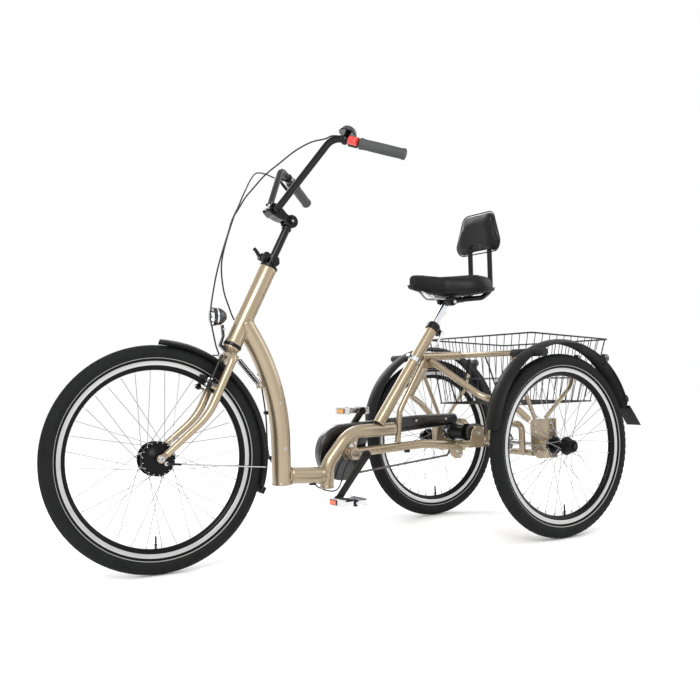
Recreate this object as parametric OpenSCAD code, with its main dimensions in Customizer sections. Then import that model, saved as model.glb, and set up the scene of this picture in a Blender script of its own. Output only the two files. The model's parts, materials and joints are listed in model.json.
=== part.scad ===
// Adult tricycle with a low step-through frame, laid out in millimetres.
// -Y is forward, +X is the rider's left, +Z is up and the ground is z = 0.
// Inside row() Y is counted from the rear axle line, and inside steered() Z runs up the steering axis.

/* [Wheels] */
// Outer diameter of the front tyre
front_wheel_d = 653; // [640:1:670]
// Outer diameter of each rear tyre
rear_wheel_d = 601; // [590:1:610]
// Width of every tyre
tyre_w = 47; // [44:1:50]
// Number of spokes in each wheel
spoke_count = 36; // [24:4:36]
/* [Layout] */
// Distance from the rear axle to the front hub with the steering straight
wheelbase = 1254; // [1240:1:1270]
// Distance between the middle planes of the two rear wheels
track = 685; // [680:1:700]
// Angle of the steering axis above the ground
head_angle = 61.8; // [61:0.1:63]
// Distance of the front hub ahead of the steering axis
fork_rake = 65; // [60:1:70]
// How far the steering stands turned as the tricycle is parked
steer_rest = -5; // [-10:1:10]
// Distance from the middle of the whole length to the rear axle
axle_y = 610.5; // [600:0.5:620]
/* [Frame] */
// Outer radius of the main down tube
main_r = 30; // [26:1:32]
// Outer radius of the head tube
head_r = 27; // [26:1:29]
// Wall of the welded steel tubes
wall = 2; // [1.5:0.1:3]
// Outer radius of the seat tube
seat_tube_r = 19.5; // [18.5:0.5:21]
/* [Controls] */
// Half of the handlebar's width at the grip ends
bar_half_w = 335; // [320:5:350]
// Length of each grip
grip_len = 140; // [120:5:145]
/* [Drive] */
// Length of each crank arm between its axes
crank_len = 170; // [160:5:175]
// Angle of the left crank arm below the horizontal, pointing forward
crank_angle = 50; // [45:1:55]
// Teeth on the chainring
ring_teeth = 38; // [36:1:40]
// Teeth on the gear hub's input sprocket
input_teeth = 14; // [13:1:16]

/* [Hidden] */
$fn = 48;
run_gap = 0.05;
chain_pitch = 12.7;

// Paint and material colours
frame_paint = [0.80, 0.72, 0.55];
black = [0.08, 0.08, 0.09];
grey = [0.25, 0.25, 0.26];
silver = [0.75, 0.75, 0.77];
red = [0.85, 0.15, 0.12];

// Wheel sizes
front_r = front_wheel_d / 2;
rear_r = rear_wheel_d / 2;
tyre_r = tyre_w / 2;
rim_w = 25;
wheel_x = track / 2;

// Steering geometry: where the axis passes at the height of the front hub along it
caster_y = -wheelbase + fork_rake * sin(head_angle);
caster_z = front_r - fork_rake * cos(head_angle);
head_low = 403;
head_high = 668;
steerer_r = 14.3;
post_r = 12.7;

// Places in the frame
bb = [-598, 297];
gear_axis = [-143, 341];
axle = [0, rear_r];
primary_x = -58;
secondary_x = 78;
output_teeth = 14;
driven_teeth = 16;
function pitch_r(teeth) = teeth * chain_pitch / (2 * PI);
seat_low = [-484, 388];
seat_high = [-238, 716];
seat_len = norm(seat_high - seat_low);
seat_lean = atan2(seat_high[0] - seat_low[0], seat_high[1] - seat_low[1]);
post_tube_r = 15;
plate_x = 266;
stay_r = 11;

// ---------- helpers ----------
function unit(v) = v / norm(v);

// Moves a shape from axle-based Y to the row's origin
module row() translate([0, axle_y, 0]) children();
// Puts a shape on the steering axis, turned as parked
module steered() row() translate([0, caster_y, caster_z]) rotate([head_angle - 90, 0, 0])
    rotate([0, 0, steer_rest]) children();
// Puts a shape on the seat tube's axis, with Z = 0 at the tube's top
module on_seat_tube() row() translate([0, seat_high[0], seat_high[1]])
    rotate([-seat_lean, 0, 0]) children();
// Turns Z to point along X
module across() rotate([0, 90, 0]) children();
// Both sides of the vehicle
module both() for (m = [0, 1]) mirror([m, 0, 0]) children();
module along(a, b) {
    d = b - a;
    translate(a) rotate([0, acos(d.z / norm(d)), atan2(d.y, d.x)]) children();
}
module ring(r, bore, h) difference() {
    cylinder(r = r, h = h);
    translate([0, 0, -1]) cylinder(r = bore, h = h + 2);
}
module pipe(a, b, r, w = wall) along(a, b) {
    if (w > 0) ring(r, r - w, norm(b - a));
    else cylinder(r = r, h = norm(b - a));
}
// Points round a bend of radius br at b, on the way from a to c
function arc_points(a, b, c, br) = let (
    u = unit(b - a),
    v = unit(c - b),
    turn = acos(u * v),
    centre = b + unit(v - u) * br / cos(turn / 2),
    x = unit(b - u * br * tan(turn / 2) - centre),
    n = max(2, ceil(turn / 13)))
    [for (i = [0:n]) centre + br * (x * cos(turn * i / n) + u * sin(turn * i / n))];
function bent_points(p, br) = concat([p[0]],
    [for (i = [1:len(p) - 2]) each arc_points(p[i - 1], p[i], p[i + 1], br[i - 1])], [p[len(p) - 1]]);
function ring_dir(p, i) = unit(p[min(i + 1, len(p) - 1)] - p[max(i - 1, 0)]);
function ring_points(p, r, n, ref) = [for (i = [0:len(p) - 1])
    let (d = ring_dir(p, i), s = unit(cross(d, ref)), t = cross(d, s))
    for (k = [0:n - 1]) p[i] + r * (s * cos(360 * k / n) + t * sin(360 * k / n))];
// A skin of n sides swept along points p, hollow when w > 0; ref is a direction that the path never takes
module swept(p, r, w, n, ref) {
    rings = len(p);
    last = (rings - 1) * n;
    inner = rings * n;
    walls = [for (i = [0:rings - 2]) for (k = [0:n - 1]) let (m = (k + 1) % n)
        [i * n + k, (i + 1) * n + k, (i + 1) * n + m, i * n + m]];
    inside = [for (q = walls) [inner + q[3], inner + q[2], inner + q[1], inner + q[0]]];
    rims = [for (k = [0:n - 1]) let (m = (k + 1) % n) each
        [[k, m, inner + m, inner + k], [last + m, last + k, inner + last + k, inner + last + m]]];
    caps = [[for (k = [0:n - 1]) k], [for (k = [n - 1:-1:0]) last + k]];
    if (w > 0) polyhedron(points = concat(ring_points(p, r, n, ref), ring_points(p, r - w, n, ref)),
        faces = concat(walls, inside, rims));
    else polyhedron(points = ring_points(p, r, n, ref), faces = concat(walls, caps));
}
// A tube through points p with bend radius br at each inner point
module bent_tube(p, br, r, w = wall, n = 16, ref = [1, 0, 0]) swept(bent_points(p, br), r, w, n, ref);
// Part of a ring round the X axis, from angle a0 to a1 measured from +Y towards +Z
module ring_arc(a0, a1) across() rotate([0, 0, a0 + 90])
    rotate_extrude(angle = a1 - a0, $fn = 96) children();
// Cross-section of a mudguard whose crown is at radius r
module guard_section(r, half_w, thick) {
    drop = 13;
    curve_r = (half_w * half_w + drop * drop) / (2 * drop);
    intersection() {
        translate([r - curve_r, 0]) difference() {
            circle(curve_r, $fn = 96);
            circle(curve_r - thick, $fn = 96);
        }
        translate([r - drop, -half_w]) square([drop + 1, 2 * half_w]);
    }
}
// Outline of a belt round circles [y, z, r], listed anticlockwise
function belt_arc(p, q, s) = let (
    a0 = atan2(q[1] - p[1], q[0] - p[0]) - acos((p[2] - q[2]) / norm([q[0] - p[0], q[1] - p[1]])),
    a1 = atan2(s[1] - q[1], s[0] - q[0]) - acos((q[2] - s[2]) / norm([s[0] - q[0], s[1] - q[1]])),
    sweep = a1 - a0 - 360 * floor((a1 - a0) / 360),
    steps = max(2, ceil(sweep / 8)))
    [for (i = [0:steps]) let (a = a0 + sweep * i / steps) [q[0] + q[2] * cos(a), q[1] + q[2] * sin(a)]];
function belt(c) = let (n = len(c))
    [for (i = [0:n - 1]) each belt_arc(c[(i + n - 1) % n], c[i], c[(i + 1) % n])];
function grown(c, d) = [for (k = c) [k[0], k[1], k[2] + d]];
// Extrudes a Y-Z outline along X from x0 to x1
module slab(x0, x1) translate([x0, 0, 0])
    multmatrix([[0, 0, 1, 0], [1, 0, 0, 0], [0, 1, 0, 0], [0, 0, 0, 1]])
    linear_extrude(x1 - x0) children();
// A cable of radius r through route points
module cable(p, r, ref = [1, 0, 0]) swept(p, r, 0, 8, ref);
// Points of a smooth curve through p, with `steps` points a span
function smooth_at(a, b, c, d, t) = 0.5 * ((2 * b) + (c - a) * t + (2 * a - 5 * b + 4 * c - d) * t * t
    + (3 * b - a - 3 * c + d) * t * t * t);
function smooth(p, steps) = [for (i = [0:len(p) - 2]) for (k = [0:steps - 1])
    smooth_at(p[max(i - 1, 0)], p[i], p[i + 1], p[min(i + 2, len(p) - 1)], k / steps), p[len(p) - 1]];

// ---------- main frame ----------
module head_tube() color(frame_paint) steered() translate([0, 0, head_low])
    ring(head_r, 22, head_high - head_low);
module headset() color(black) steered() {
    translate([0, 0, head_low - 10]) ring(29, steerer_r + run_gap, 10);
    translate([0, 0, head_low]) ring(21.95, steerer_r + run_gap, 12);
    translate([0, 0, head_high]) ring(29, steerer_r + run_gap, 9);
    translate([0, 0, head_high - 12]) ring(21.95, steerer_r + run_gap, 12);
}
down_y = -852;
down_path = [[0, -970, 717], [0, down_y, 522], [0, down_y, 222]];
module head_envelope() translate([0, caster_y, caster_z]) rotate([head_angle - 90, 0, 0])
    translate([0, 0, 380]) cylinder(r = head_r + 0.1, h = 340);
module down_tube() color(frame_paint) row() {
    difference() {
        bent_tube(down_path, [620], main_r, wall, 24);
        head_envelope();
    }
    translate([0, down_y, 216]) cylinder(r = main_r + 1, h = 8);
    pipe([0, down_y + 28, 243], [0, -708, 235], 26);
    translate([-3, -930, 517]) cube([6, 60, 20]);
}
riser_path = [[0, -690, 198], [0, -686, 268], [0, -598, 366], [0, -430, 366]];
riser_r = 22;
module rear_riser() color(frame_paint) row() {
    bent_tube(riser_path, [70, 110], riser_r, wall, 24);
    along([0, -433, 366], [0, -426, 366]) cylinder(r = riser_r + 1, h = 7);
    translate([0, -690, 193]) cylinder(r = riser_r + 1, h = 8);
}
module seat_tube() color(frame_paint) on_seat_tube() translate([0, 0, -seat_len])
    ring(seat_tube_r, post_tube_r + run_gap, seat_len);
rack_at = [-125, 607];
module seat_braces() color(frame_paint) {
    difference() {
        row() pipe([0, -320, 606], [0, rack_at[0] - 10, rack_at[1]], 14);
        on_seat_tube() translate([0, 0, -200]) cylinder(r = seat_tube_r - 1, h = 150);
    }
    row() bent_tube([[0, -290, 594], [0, -398, 425], [0, -410, 325]], [60], 10, 1.5);
}
stay_path = [[0, -568, 299], [0, -300, 309], [0, -170, 296], [0, -14, rear_r]];
module chain_stay() color(frame_paint) row() difference() {
    union() {
        bent_tube(stay_path, [400, 300], 15);
        translate([-30, 0, rear_r]) across() cylinder(r = 17, h = 60);
        slab(6, 14) polygon([[-196, 300], [-142, 300], [-142, 262], [-152, 250], [-172, 250], [-190, 262]]);
        translate([-52, -160, 300]) across() cylinder(r = 12, h = 70);
    }
    translate([-31, 0, rear_r]) across() cylinder(r = 8.5 + run_gap, h = 62);
}
module bb_shell() color(frame_paint) row() difference() {
    union() {
        translate([-34, bb[0], bb[1]]) across() cylinder(r = 20, h = 68);
        slab(-13, 13) polygon([[-645, 318], [-600, 346], [-575, 345], [-585, 300], [-610, 284]]);
    }
    translate([-35, bb[0], bb[1]]) across() cylinder(r = 10 + run_gap, h = 70);
}
rack_half = 262;
module rack_bar() color(frame_paint) row() translate([-rack_half, rack_at[0], rack_at[1]]) across()
    ring(9.5, 8, 2 * rack_half);
module rear_stays() color(frame_paint) row() both() {
    bent_tube([[8, -264, 590], [196, -208, 468], [252, -120, 436], [262, -62, 386]], [60, 30], stay_r, 1.5,
        14, [0, 0, 1]);
    pipe([plate_x - 8, -30, 388], [256, rack_at[0] + 4, rack_at[1] - 12], 7, 1.5);
    bent_tube([[plate_x - 8, 18, 388], [275, 122, 490], [283, 150, 596]], [50], 7, 1.5, 12);
}
bearing_x = 296;
module axle_plates() color(frame_paint) row() both() difference() {
    union() {
        slab(plate_x - 2, plate_x + 2) polygon(concat([[43, 386], [-50, 386], [-58, 376]],
            [for (a = [180:15:270]) [-14 + 44 * cos(a), 298 + 44 * sin(a)]], [[43, 254]]));
        translate([plate_x, 39, 254]) cube([18, 4, 132]);
        translate([plate_x - 14, 0, rear_r]) across() cylinder(r = 23, h = bearing_x - plate_x + 14);
    }
    translate([plate_x - 20, 0, rear_r]) across() cylinder(r = 8.5 + run_gap, h = 60);
    for (y = [-42, 28], z = [345, 370]) translate([plate_x - 5, y, z]) across() cylinder(r = 3.5, h = 10);
}
cradle_z = 370;
module axle_cradle() color(frame_paint) row() {
    both() bent_tube([[62, -62, 303], [62, -62, cradle_z], [228, -62, cradle_z], [228, -62, 275]], [16, 24],
        stay_r, 1.5, 14, [0, 1, 0]);
    both() pipe([262, -45, 275], [100, -45, 275], stay_r, 1.5);
    for (x = [-90, 98]) slab(x, x + 4)
        polygon([[-186, 292], [-118, 292], [-118, 350], [-130, 362], [-156, 362], [-170, 350]]);
    for (s = [[-90, -32], [32, 98]]) translate([s[0], -170, 300]) across() cylinder(r = 8, h = s[1] - s[0]);
    translate([-96, gear_axis[0], gear_axis[1]]) across() cylinder(r = 5, h = 206);
}

// ---------- mudguards, lights and basket ----------
guard_y = 5;
guard_z = 340;
guard_r = 309;
module rear_fenders() color(black) row() both() translate([wheel_x, guard_y, guard_z])
    ring_arc(14, 175) guard_section(guard_r, 35, 2);
socket_x = 264;
module fender_rubbers() color(grey) row() both() {
    translate([socket_x, rack_at[0], rack_at[1] - 1]) across() cylinder(r = 13, h = 150);
    translate([wheel_x - 30, 0, 0]) slab(0, 60) polygon([[302.5, 419], [305.5, 419], [358, 350], [355, 349]]);
}
module rear_lights() color(red) row() both() {
    translate([wheel_x - 4, 215, 583]) rotate([-90, 0, 0]) cylinder(r = 15, h = 24);
    translate([wheel_x - 10, 213, 562]) cube([12, 9, 16]);
    translate([wheel_x, 300, 438]) rotate([-71.5, 0, 0]) cylinder(r = 17, h = 8);
}
side_slope = 0.24;
// An open-top tray: half width w at height z0, spanning Y from b to c there and from f to g at the rim
module tray(w, z0, b, c, f, g, front_z, rear_z) {
    front_w = w + side_slope * (front_z - z0);
    rear_w = w + side_slope * (rear_z - z0);
    polyhedron(points = [[-w, b, z0], [w, b, z0], [w, c, z0], [-w, c, z0], [-front_w, f, front_z],
        [front_w, f, front_z], [rear_w, g, rear_z], [-rear_w, g, rear_z]],
        faces = [[0, 1, 2, 3], [4, 5, 1, 0], [5, 6, 2, 1], [6, 7, 3, 2], [7, 4, 0, 3], [7, 6, 5, 4]]);
}
module basket() color(black) row() difference() {
    tray(226, 432, -54, 284, -57, 322, 677, 653);
    tray(224, 433.6, -52, 282, -55, 320.1, 679, 655);
}

// ---------- drive ----------
function main_sprockets(d) = grown([[bb[0], bb[1], pitch_r(ring_teeth)], [-160, 270, 14],
    [gear_axis[0], gear_axis[1], pitch_r(input_teeth)]], d);
function rear_sprockets(d) = grown([[gear_axis[0], gear_axis[1], pitch_r(output_teeth)],
    [axle[0], axle[1], pitch_r(driven_teeth)]], d);
module chains() color(grey) row() {
    slab(primary_x - 3, primary_x + 3) difference() {
        polygon(belt(main_sprockets(4)));
        polygon(belt(main_sprockets(-4)));
    }
    slab(secondary_x - 3, secondary_x + 3) difference() {
        polygon(belt(rear_sprockets(4)));
        polygon(belt(rear_sprockets(-4)));
    }
}
case_r = 92;
module case_outline(inset) {
    translate(bb) circle(case_r - inset);
    polygon([[bb[0], bb[1] + case_r - inset], [bb[0], 336 + inset], [-130, 362 + inset], [-112, 372 + inset],
        [-108 - inset, 384], [-114 - inset, 398 - inset], [-134, 406 - inset], [-300, 403 - inset],
        [-420, 397 - inset]]);
}
module chain_case() color(black) row() difference() {
    slab(primary_x - 18, primary_x + 18) case_outline(0);
    slab(primary_x - 16, primary_x + 16) case_outline(2);
    slab(primary_x - 16, primary_x + 16) {
        polygon([[-560, 300], [-130, 355], [-116, 376], [-240, 375], [-480, 345]]);
        polygon([[-570, 190], [-480, 190], [-480, 330], [-560, 330]]);
    }
    translate([primary_x - 20, bb[0], bb[1]]) across() cylinder(r = 30, h = 40);
}
module sprocket(x, teeth, bore) translate([x - 1.5, 0, 0]) across() ring(pitch_r(teeth) - 4.6, bore, 3);
module input_sprocket() color(silver) row() translate([0, gear_axis[0], gear_axis[1]]) {
    sprocket(primary_x, input_teeth, 5 + run_gap);
    translate([primary_x - 6, 0, 0]) across() ring(13, 5 + run_gap, 18);
}
module gear_hub() color(grey) row() translate([0, gear_axis[0], gear_axis[1]]) {
    translate([-39, 0, 0]) across() difference() {
        rotate_extrude() polygon([[0, 0], [18, 0], [22, 6], [30, 6], [30, 11], [26, 14], [26, 76],
            [30, 79], [30, 84], [20, 86], [20, 120], [0, 120]]);
        translate([0, 0, -1]) cylinder(r = 5 + run_gap, h = 130);
    }
    sprocket(secondary_x, output_teeth, 19);
}
arm_x = 92;
pedal_at = [-crank_len * cos(crank_angle), -crank_len * sin(crank_angle)];
module crank_arm() {
    translate([arm_x - 6, 0, 0]) across() cylinder(r = 15, h = 14);
    rotate([crank_angle, 0, 0]) translate([arm_x - 5, -crank_len, -10]) cube([11, crank_len, 20]);
    translate([arm_x - 6, pedal_at[0], pedal_at[1]]) across() cylinder(r = 13, h = 13);
    translate([arm_x, pedal_at[0], pedal_at[1]]) across() cylinder(r = 5, h = 112);
}
module crankset() color(black) row() translate([0, bb[0], bb[1]]) {
    translate([-arm_x, 0, 0]) across() cylinder(r = 10, h = 2 * arm_x);
    crank_arm();
    rotate([180, 0, 0]) mirror([1, 0, 0]) crank_arm();
    translate([primary_x - 1.5, 0, 0]) across() difference() {
        ring(pitch_r(ring_teeth) - 4.6, 9, 3);
        for (a = [0:72:288]) rotate([0, 0, a]) translate([42, 0, -1]) cylinder(r = 17, h = 5);
    }
    translate([-arm_x, 0, 0]) across() cylinder(r = 19, h = arm_x + primary_x);
}
pedal_start = 12;
module pedal() {
    translate([pedal_start, 0, 0]) across() ring(11, 5 + run_gap, 92);
    for (y = [-40, 36]) translate([pedal_start + 4, y, -10]) cube([88, 4, 20]);
    for (x = [0, 44, 86], y = [-37, 9]) translate([pedal_start + 4 + x, y, -6]) cube([4, 28, 12]);
}
module pedal_left() color(silver) row() translate([arm_x, bb[0] + pedal_at[0], bb[1] + pedal_at[1]]) pedal();
module pedal_right() color(silver) row() translate([-arm_x, bb[0] - pedal_at[0], bb[1] - pedal_at[1]])
    mirror([1, 0, 0]) pedal();

// ---------- wheels ----------
function rim_out(r) = r - tyre_w + 6;
module tyre(r) across() rotate_extrude($fn = 96) difference() {
    translate([r - tyre_r, 0]) circle(tyre_r);
    translate([r - tyre_r, 0]) circle(tyre_r - 4);
    translate([r - 2 * tyre_r - 5, -rim_w / 2 - 0.2]) square([11.2, rim_w + 0.4]);
}
rim_depth = 31;
module rim(r) across() rotate_extrude($fn = 96) translate([rim_out(r) - rim_depth, 0])
    polygon([[0, -6], [9, -12.5], [31, -12.5], [31, -10.5], [21, -10.5], [21, 10.5], [31, 10.5], [31, 12.5],
        [9, 12.5], [0, 6]]);
spoke_r = 1;
spoke_gap = 3.4;
lacing = 40;
module spokes(r, flange_x, flange_r) for (k = [0:spoke_count - 1]) {
    side = k % 2 == 0 ? 1 : -1;
    lean = floor(k / 2) % 2 == 0 ? 1 : -1;
    out = 360 * k / spoke_count;
    at = out + lean * lacing;
    far = rim_out(r) - rim_depth - 0.3;
    pipe([side * flange_x + lean * spoke_gap, flange_r * cos(at), flange_r * sin(at)],
        [side * 3, far * cos(out), far * sin(out)], spoke_r, 0);
}
module front_place() steered() translate([0, -fork_rake, 0]) children();
module front_tyre() color(black) front_place() tyre(front_r);
module front_rim() color(silver) front_place() rim(front_r);
module front_hub() color(grey) front_place() {
    translate([-40, 0, 0]) across() difference() {
        rotate_extrude() polygon([[0, 0], [14, 0], [18, 8], [38, 12], [38, 15.9], [50, 16], [50, 20],
            [42, 20.1], [42, 59.9], [50, 60], [50, 64], [40, 64.1], [24, 72], [14, 80], [0, 80]]);
        translate([0, 0, -1]) cylinder(r = 5 + run_gap, h = 90);
    }
    spokes(front_r, 22, 46);
}
module rear_place(s) row() translate([s * wheel_x, 0, rear_r]) mirror([s < 0 ? 1 : 0, 0, 0]) children();
module rear_hub() {
    translate([-42, 0, 0]) across() rotate_extrude() polygon([[0, 0], [15, 0], [19, 4], [19, 12], [22, 14],
        [30, 14], [30, 18], [17, 18.1], [17, 65.9], [30, 66], [30, 70], [22, 70.1], [24, 75], [24, 98],
        [20, 102], [0, 102]]);
    translate([22 - wheel_x, 0, 0]) across() cylinder(r = 8.5, h = wheel_x - 60);
    spokes(rear_r, 26, 26);
}
module rear_tyre_left() color(black) rear_place(1) tyre(rear_r);
module rear_tyre_right() color(black) rear_place(-1) tyre(rear_r);
module rear_rim_left() color(silver) rear_place(1) rim(rear_r);
module rear_rim_right() color(silver) rear_place(-1) rim(rear_r);
module rear_hub_left() color(grey) {
    rear_place(1) rear_hub();
    row() translate([0, 0, rear_r]) sprocket(secondary_x, driven_teeth, 8.4);
}
module rear_hub_right() color(grey) rear_place(-1) rear_hub();

// ---------- fork and front end ----------
blade_path = [[8, 2, 377], [49, 4, 357], [50, 8, 170], [57, -58, 16]];
steerer_low = 362;
boss_x = 48;
boss_z = 250;
module fork() color(frame_paint) steered() {
    difference() {
        translate([0, 0, steerer_low]) cylinder(r = steerer_r, h = head_high + 10 - steerer_low);
        translate([0, 0, 400]) cylinder(r = post_r + run_gap, h = 400);
    }
    both() {
        bent_tube(blade_path, [34, 200], 13.5, 0, 20, [0, 1, 0]);
        translate([48, -fork_rake, 0]) across() cylinder(r = 12, h = 8);
        translate([48, -fork_rake - 8, -4]) rotate([-24, 0, 0]) cube([8, 17, 28]);
        translate([boss_x, -2, boss_z]) rotate([90, 0, 0]) cylinder(r = 4, h = 38);
    }
    translate([-66, -fork_rake, 0]) across() cylinder(r = 5, h = 132);
    both() translate([56, -fork_rake, 0]) across() cylinder(r = 9, h = 8);
}
arm_bore = 4 + run_gap;
module brake_arm() difference() {
    union() {
        translate([boss_x, -22, boss_z]) rotate([90, 0, 0]) cylinder(r = 8.5, h = 14);
        translate([boss_x - 7, -34.5, boss_z]) rotate([0, -3.5, 0]) cube([12, 11, 100]);
        translate([23, -33, 266]) cube([24, 8, 8]);
        translate([13.6, -56, 265]) cube([10.6, 54, 11]);
    }
    translate([boss_x, -20, boss_z]) rotate([90, 0, 0]) cylinder(r = arm_bore, h = 18);
}
module brake_arm_left() color(black) steered() brake_arm();
module brake_arm_right() color(black) steered() mirror([1, 0, 0]) brake_arm();
module front_fender() color(black) steered() translate([0, -fork_rake, 0]) {
    ring_arc(8, 114) guard_section(344, 28, 2);
    both() bent_tube([[57, 18, -6], [50, 90, 22], [29, 309, 113]], [20], 2, 0, 8);
}
lamp_at = [0, -82, 455];
module lamp_place() steered() translate(lamp_at) rotate([90 + 90 - head_angle, 0, 0]) children();
module headlight() color(black) {
    lamp_place() difference() {
        rotate_extrude() polygon([[0, -30], [6, -30], [14, -28], [24, -14], [29, 8], [29, 16], [26, 16],
            [26, 8], [6, -22], [0, -22]]);
        translate([0, 0, 14]) cylinder(r = 27.2, h = 10);
    }
    steered() {
        slab(-8, 8) polygon([[-11, 371], [-11, 381], [-33, 386], [-36, 412], [-53, 441], [-58, 439],
            [-40, 410], [-38, 380]]);
    }
}
module headlight_lens() color("white") lamp_place() translate([0, 0, 10]) rotate_extrude()
    polygon([[0, 0], [25.8, 0], [25.8, 7], [22, 10], [12, 13], [0, 14]]);

// ---------- stem and handlebar ----------
knuckle_z = 836;
clamp_at = [0, -65, 840];
stem_z = head_high + 26;
module stem_collar() color(black) steered() {
    translate([0, 0, stem_z - 15]) ring(21, post_r + 0.4, 33);
    for (x = [-17, 5]) translate([x, -38, stem_z - 12]) cube([12, 20, 26]);
    translate([-30, -30, stem_z]) across() cylinder(r = 4, h = 54);
    translate([20, -30, stem_z]) across() cylinder(r = 11, h = 12);
}
module stem_lever() color(black) steered() translate([-22, -30, stem_z]) {
    translate([-6, 0, 0]) across() ring(9, 4 + run_gap, 8);
    rotate([-24, 0, 0]) translate([-6, -40, 0]) cube([9, 36, 7]);
}
module stem_post() color(black) steered() {
    translate([0, 0, 560]) ring(post_r, 9.5, 254);
    difference() {
        union() {
            translate([0, 0, 806]) cylinder(r = 16, h = 10);
            translate([0, 0, 806]) cylinder(r = 13, h = 24);
            translate([-13, 0, knuckle_z]) across() cylinder(r = 17, h = 26);
        }
        translate([-20, 0, knuckle_z]) across() cylinder(r = 5 + run_gap, h = 40);
    }
}
module stem_head() color(black) steered() difference() {
    union() {
        for (x = [-22, 13.5]) translate([x, 0, knuckle_z]) across() cylinder(r = 18, h = 8.5);
        translate([-28, 0, knuckle_z]) across() cylinder(r = 5, h = 56);
        for (x = [-30, 22]) translate([x, 0, knuckle_z]) across() cylinder(r = 9, h = 8);
        for (x = [-22, 13.5]) translate([x, -46, knuckle_z - 11]) cube([8.5, 46, 22]);
        translate([-22, -60, knuckle_z - 11]) cube([44, 38, 24]);
        translate([-24, clamp_at.y, clamp_at.z]) across() cylinder(r = 20, h = 48);
    }
    translate([-30, clamp_at.y, clamp_at.z]) across() cylinder(r = 12.75, h = 60);
    difference() {
        translate([-13.4, -23, knuckle_z - 30]) cube([26.8, 60, 60]);
        translate([-28, 0, knuckle_z]) across() cylinder(r = 5, h = 56);
    }
}
bar_end = [bar_half_w, 130, 1074];
bar_top = [193, -47, 1066];
bar_low = [42, clamp_at.y, clamp_at.z];
bar_r = 11.1;
function flip(v) = [-v.x, v.y, v.z];
module handlebar() color(black) steered() {
    bent_tube([bar_end, bar_top, bar_low, flip(bar_low), flip(bar_top), flip(bar_end)],
        [50, 35, 35, 50], bar_r, wall, 20, [0, 1, 0]);
}
// Z runs along the bar from the grip's end, +X points down and +Y away from the rider
module on_grip(d) along(bar_end, bar_top) translate([0, 0, d]) children();
module right_side() mirror([1, 0, 0]) children();
module grip(length) translate([0, 0, -4]) difference() {
    rotate_extrude() polygon([[0, 0], [15, 0], [17.5, 3], [17.5, 9], [16, 13], [16, length - 10],
        [17.5, length - 4], [17.5, length + 4], [0, length + 4]]);
    translate([0, 0, 4]) cylinder(r = bar_r, h = length + 10);
}
module grips() color(grey) steered() {
    on_grip(0) grip(grip_len);
    right_side() on_grip(0) grip(grip_len - 36);
}
perch_d = 164;
module perch() {
    difference() {
        union() {
            translate([0, 0, -9]) cylinder(r = 15.5, h = 18);
            for (x = [-8, 4.3]) translate([x, 8, -8]) cube([3.7, 30, 16]);
        }
        translate([0, 0, -10]) cylinder(r = bar_r, h = 20);
    }
    translate([-8, 32, 0]) across() cylinder(r = 2.5, h = 16);
}
module lever_perches() color(black) steered() {
    right_side() on_grip(perch_d) perch();
    on_grip(188) {
        translate([0, 0, -6]) ring(15, bar_r, 12);
        rotate([0, -90, 0]) translate([0, 0, 13]) ring(9, 3, 6);
        rotate([0, -90, 0]) translate([0, 0, 12]) cylinder(r = 3, h = 17);
    }
}
module brake_lever() color(black) steered() right_side() on_grip(perch_d) {
    difference() {
        union() {
            translate([-4, 32, 0]) across() cylinder(r = 6.5, h = 8);
            slab(-3.5, 3.5)
                polygon([[28, 3], [37, 1], [50, -38], [49, -114], [42, -114], [41, -40], [28, -3]]);
        }
        translate([-5, 32, 0]) across() cylinder(r = 2.5 + run_gap, h = 10);
    }
    translate([-4, 45.5, -112]) across() cylinder(r = 6.5, h = 8);
}
module shifter_ring() color(grey) steered() right_side() on_grip(grip_len - 35.5)
    ring(18.5, bar_r + run_gap, 38);
module bell() color(black) steered() on_grip(188) rotate([0, -90, 0]) translate([0, 0, 20]) difference() {
    rotate_extrude() polygon([[0, 0], [28, 0], [28, 6], [26, 13], [20, 19], [11, 23], [0, 24]]);
    translate([0, 0, -1]) cylinder(r = 3 + run_gap, h = 11);
}
module parking_lever() color(red) steered() on_grip(158) {
    translate([0, 0, -12]) ring(16.5, bar_r + run_gap, 28);
    translate([4, 12, -8]) cube([12, 16, 20]);
}

// ---------- cables ----------
housing_r = 2.4;
left_route = [[219, -37, 1067], [202, -54, 1062], [184, -65, 1050], [165, -93, 1026], [135, -118, 988],
    [100, -137, 940], [70, -153, 897], [44, -162, 850]];
right_route = [[-228, -12, 1054], [-208, -52, 1032], [-185, -90, 1016], [-150, -127, 985], [-110, -144, 938],
    [-65, -155, 878], [-42, -160, 845]];
fork_route = [[-8, -165, 742], [-2, -160, 700], [2, -155, 656], [16, -148, 590], [32, -136, 520],
    [36, -110, 440], [34, -60, 372], [24, -34, 350], [-26, -34, 352]];
gear_route = [[-5, -1031, 820], [-25, -1006, 770], [-38, -980, 725], [-41, -945, 690], [-38, -915, 640],
    [-35, -902, 560], [-35, -884, 440], [-35, -874, 300], [-35, -822, 262], [-32, -740, 244],
    [-27, -708, 196], [-20, -640, 182], [-18, -600, 260], [-22, -540, 284], [-22, -300, 294],
    [-30, -215, 300]];
module control_cables() color(black) steered() {
    cable(smooth(left_route, 3), housing_r);
    cable(smooth(right_route, 3), housing_r);
}
module brake_cable() color(black) steered() cable(smooth(fork_route, 3), housing_r, [0, 1, 0]);
module gear_cable() color(black) row() cable(smooth(gear_route, 3), housing_r);

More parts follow.
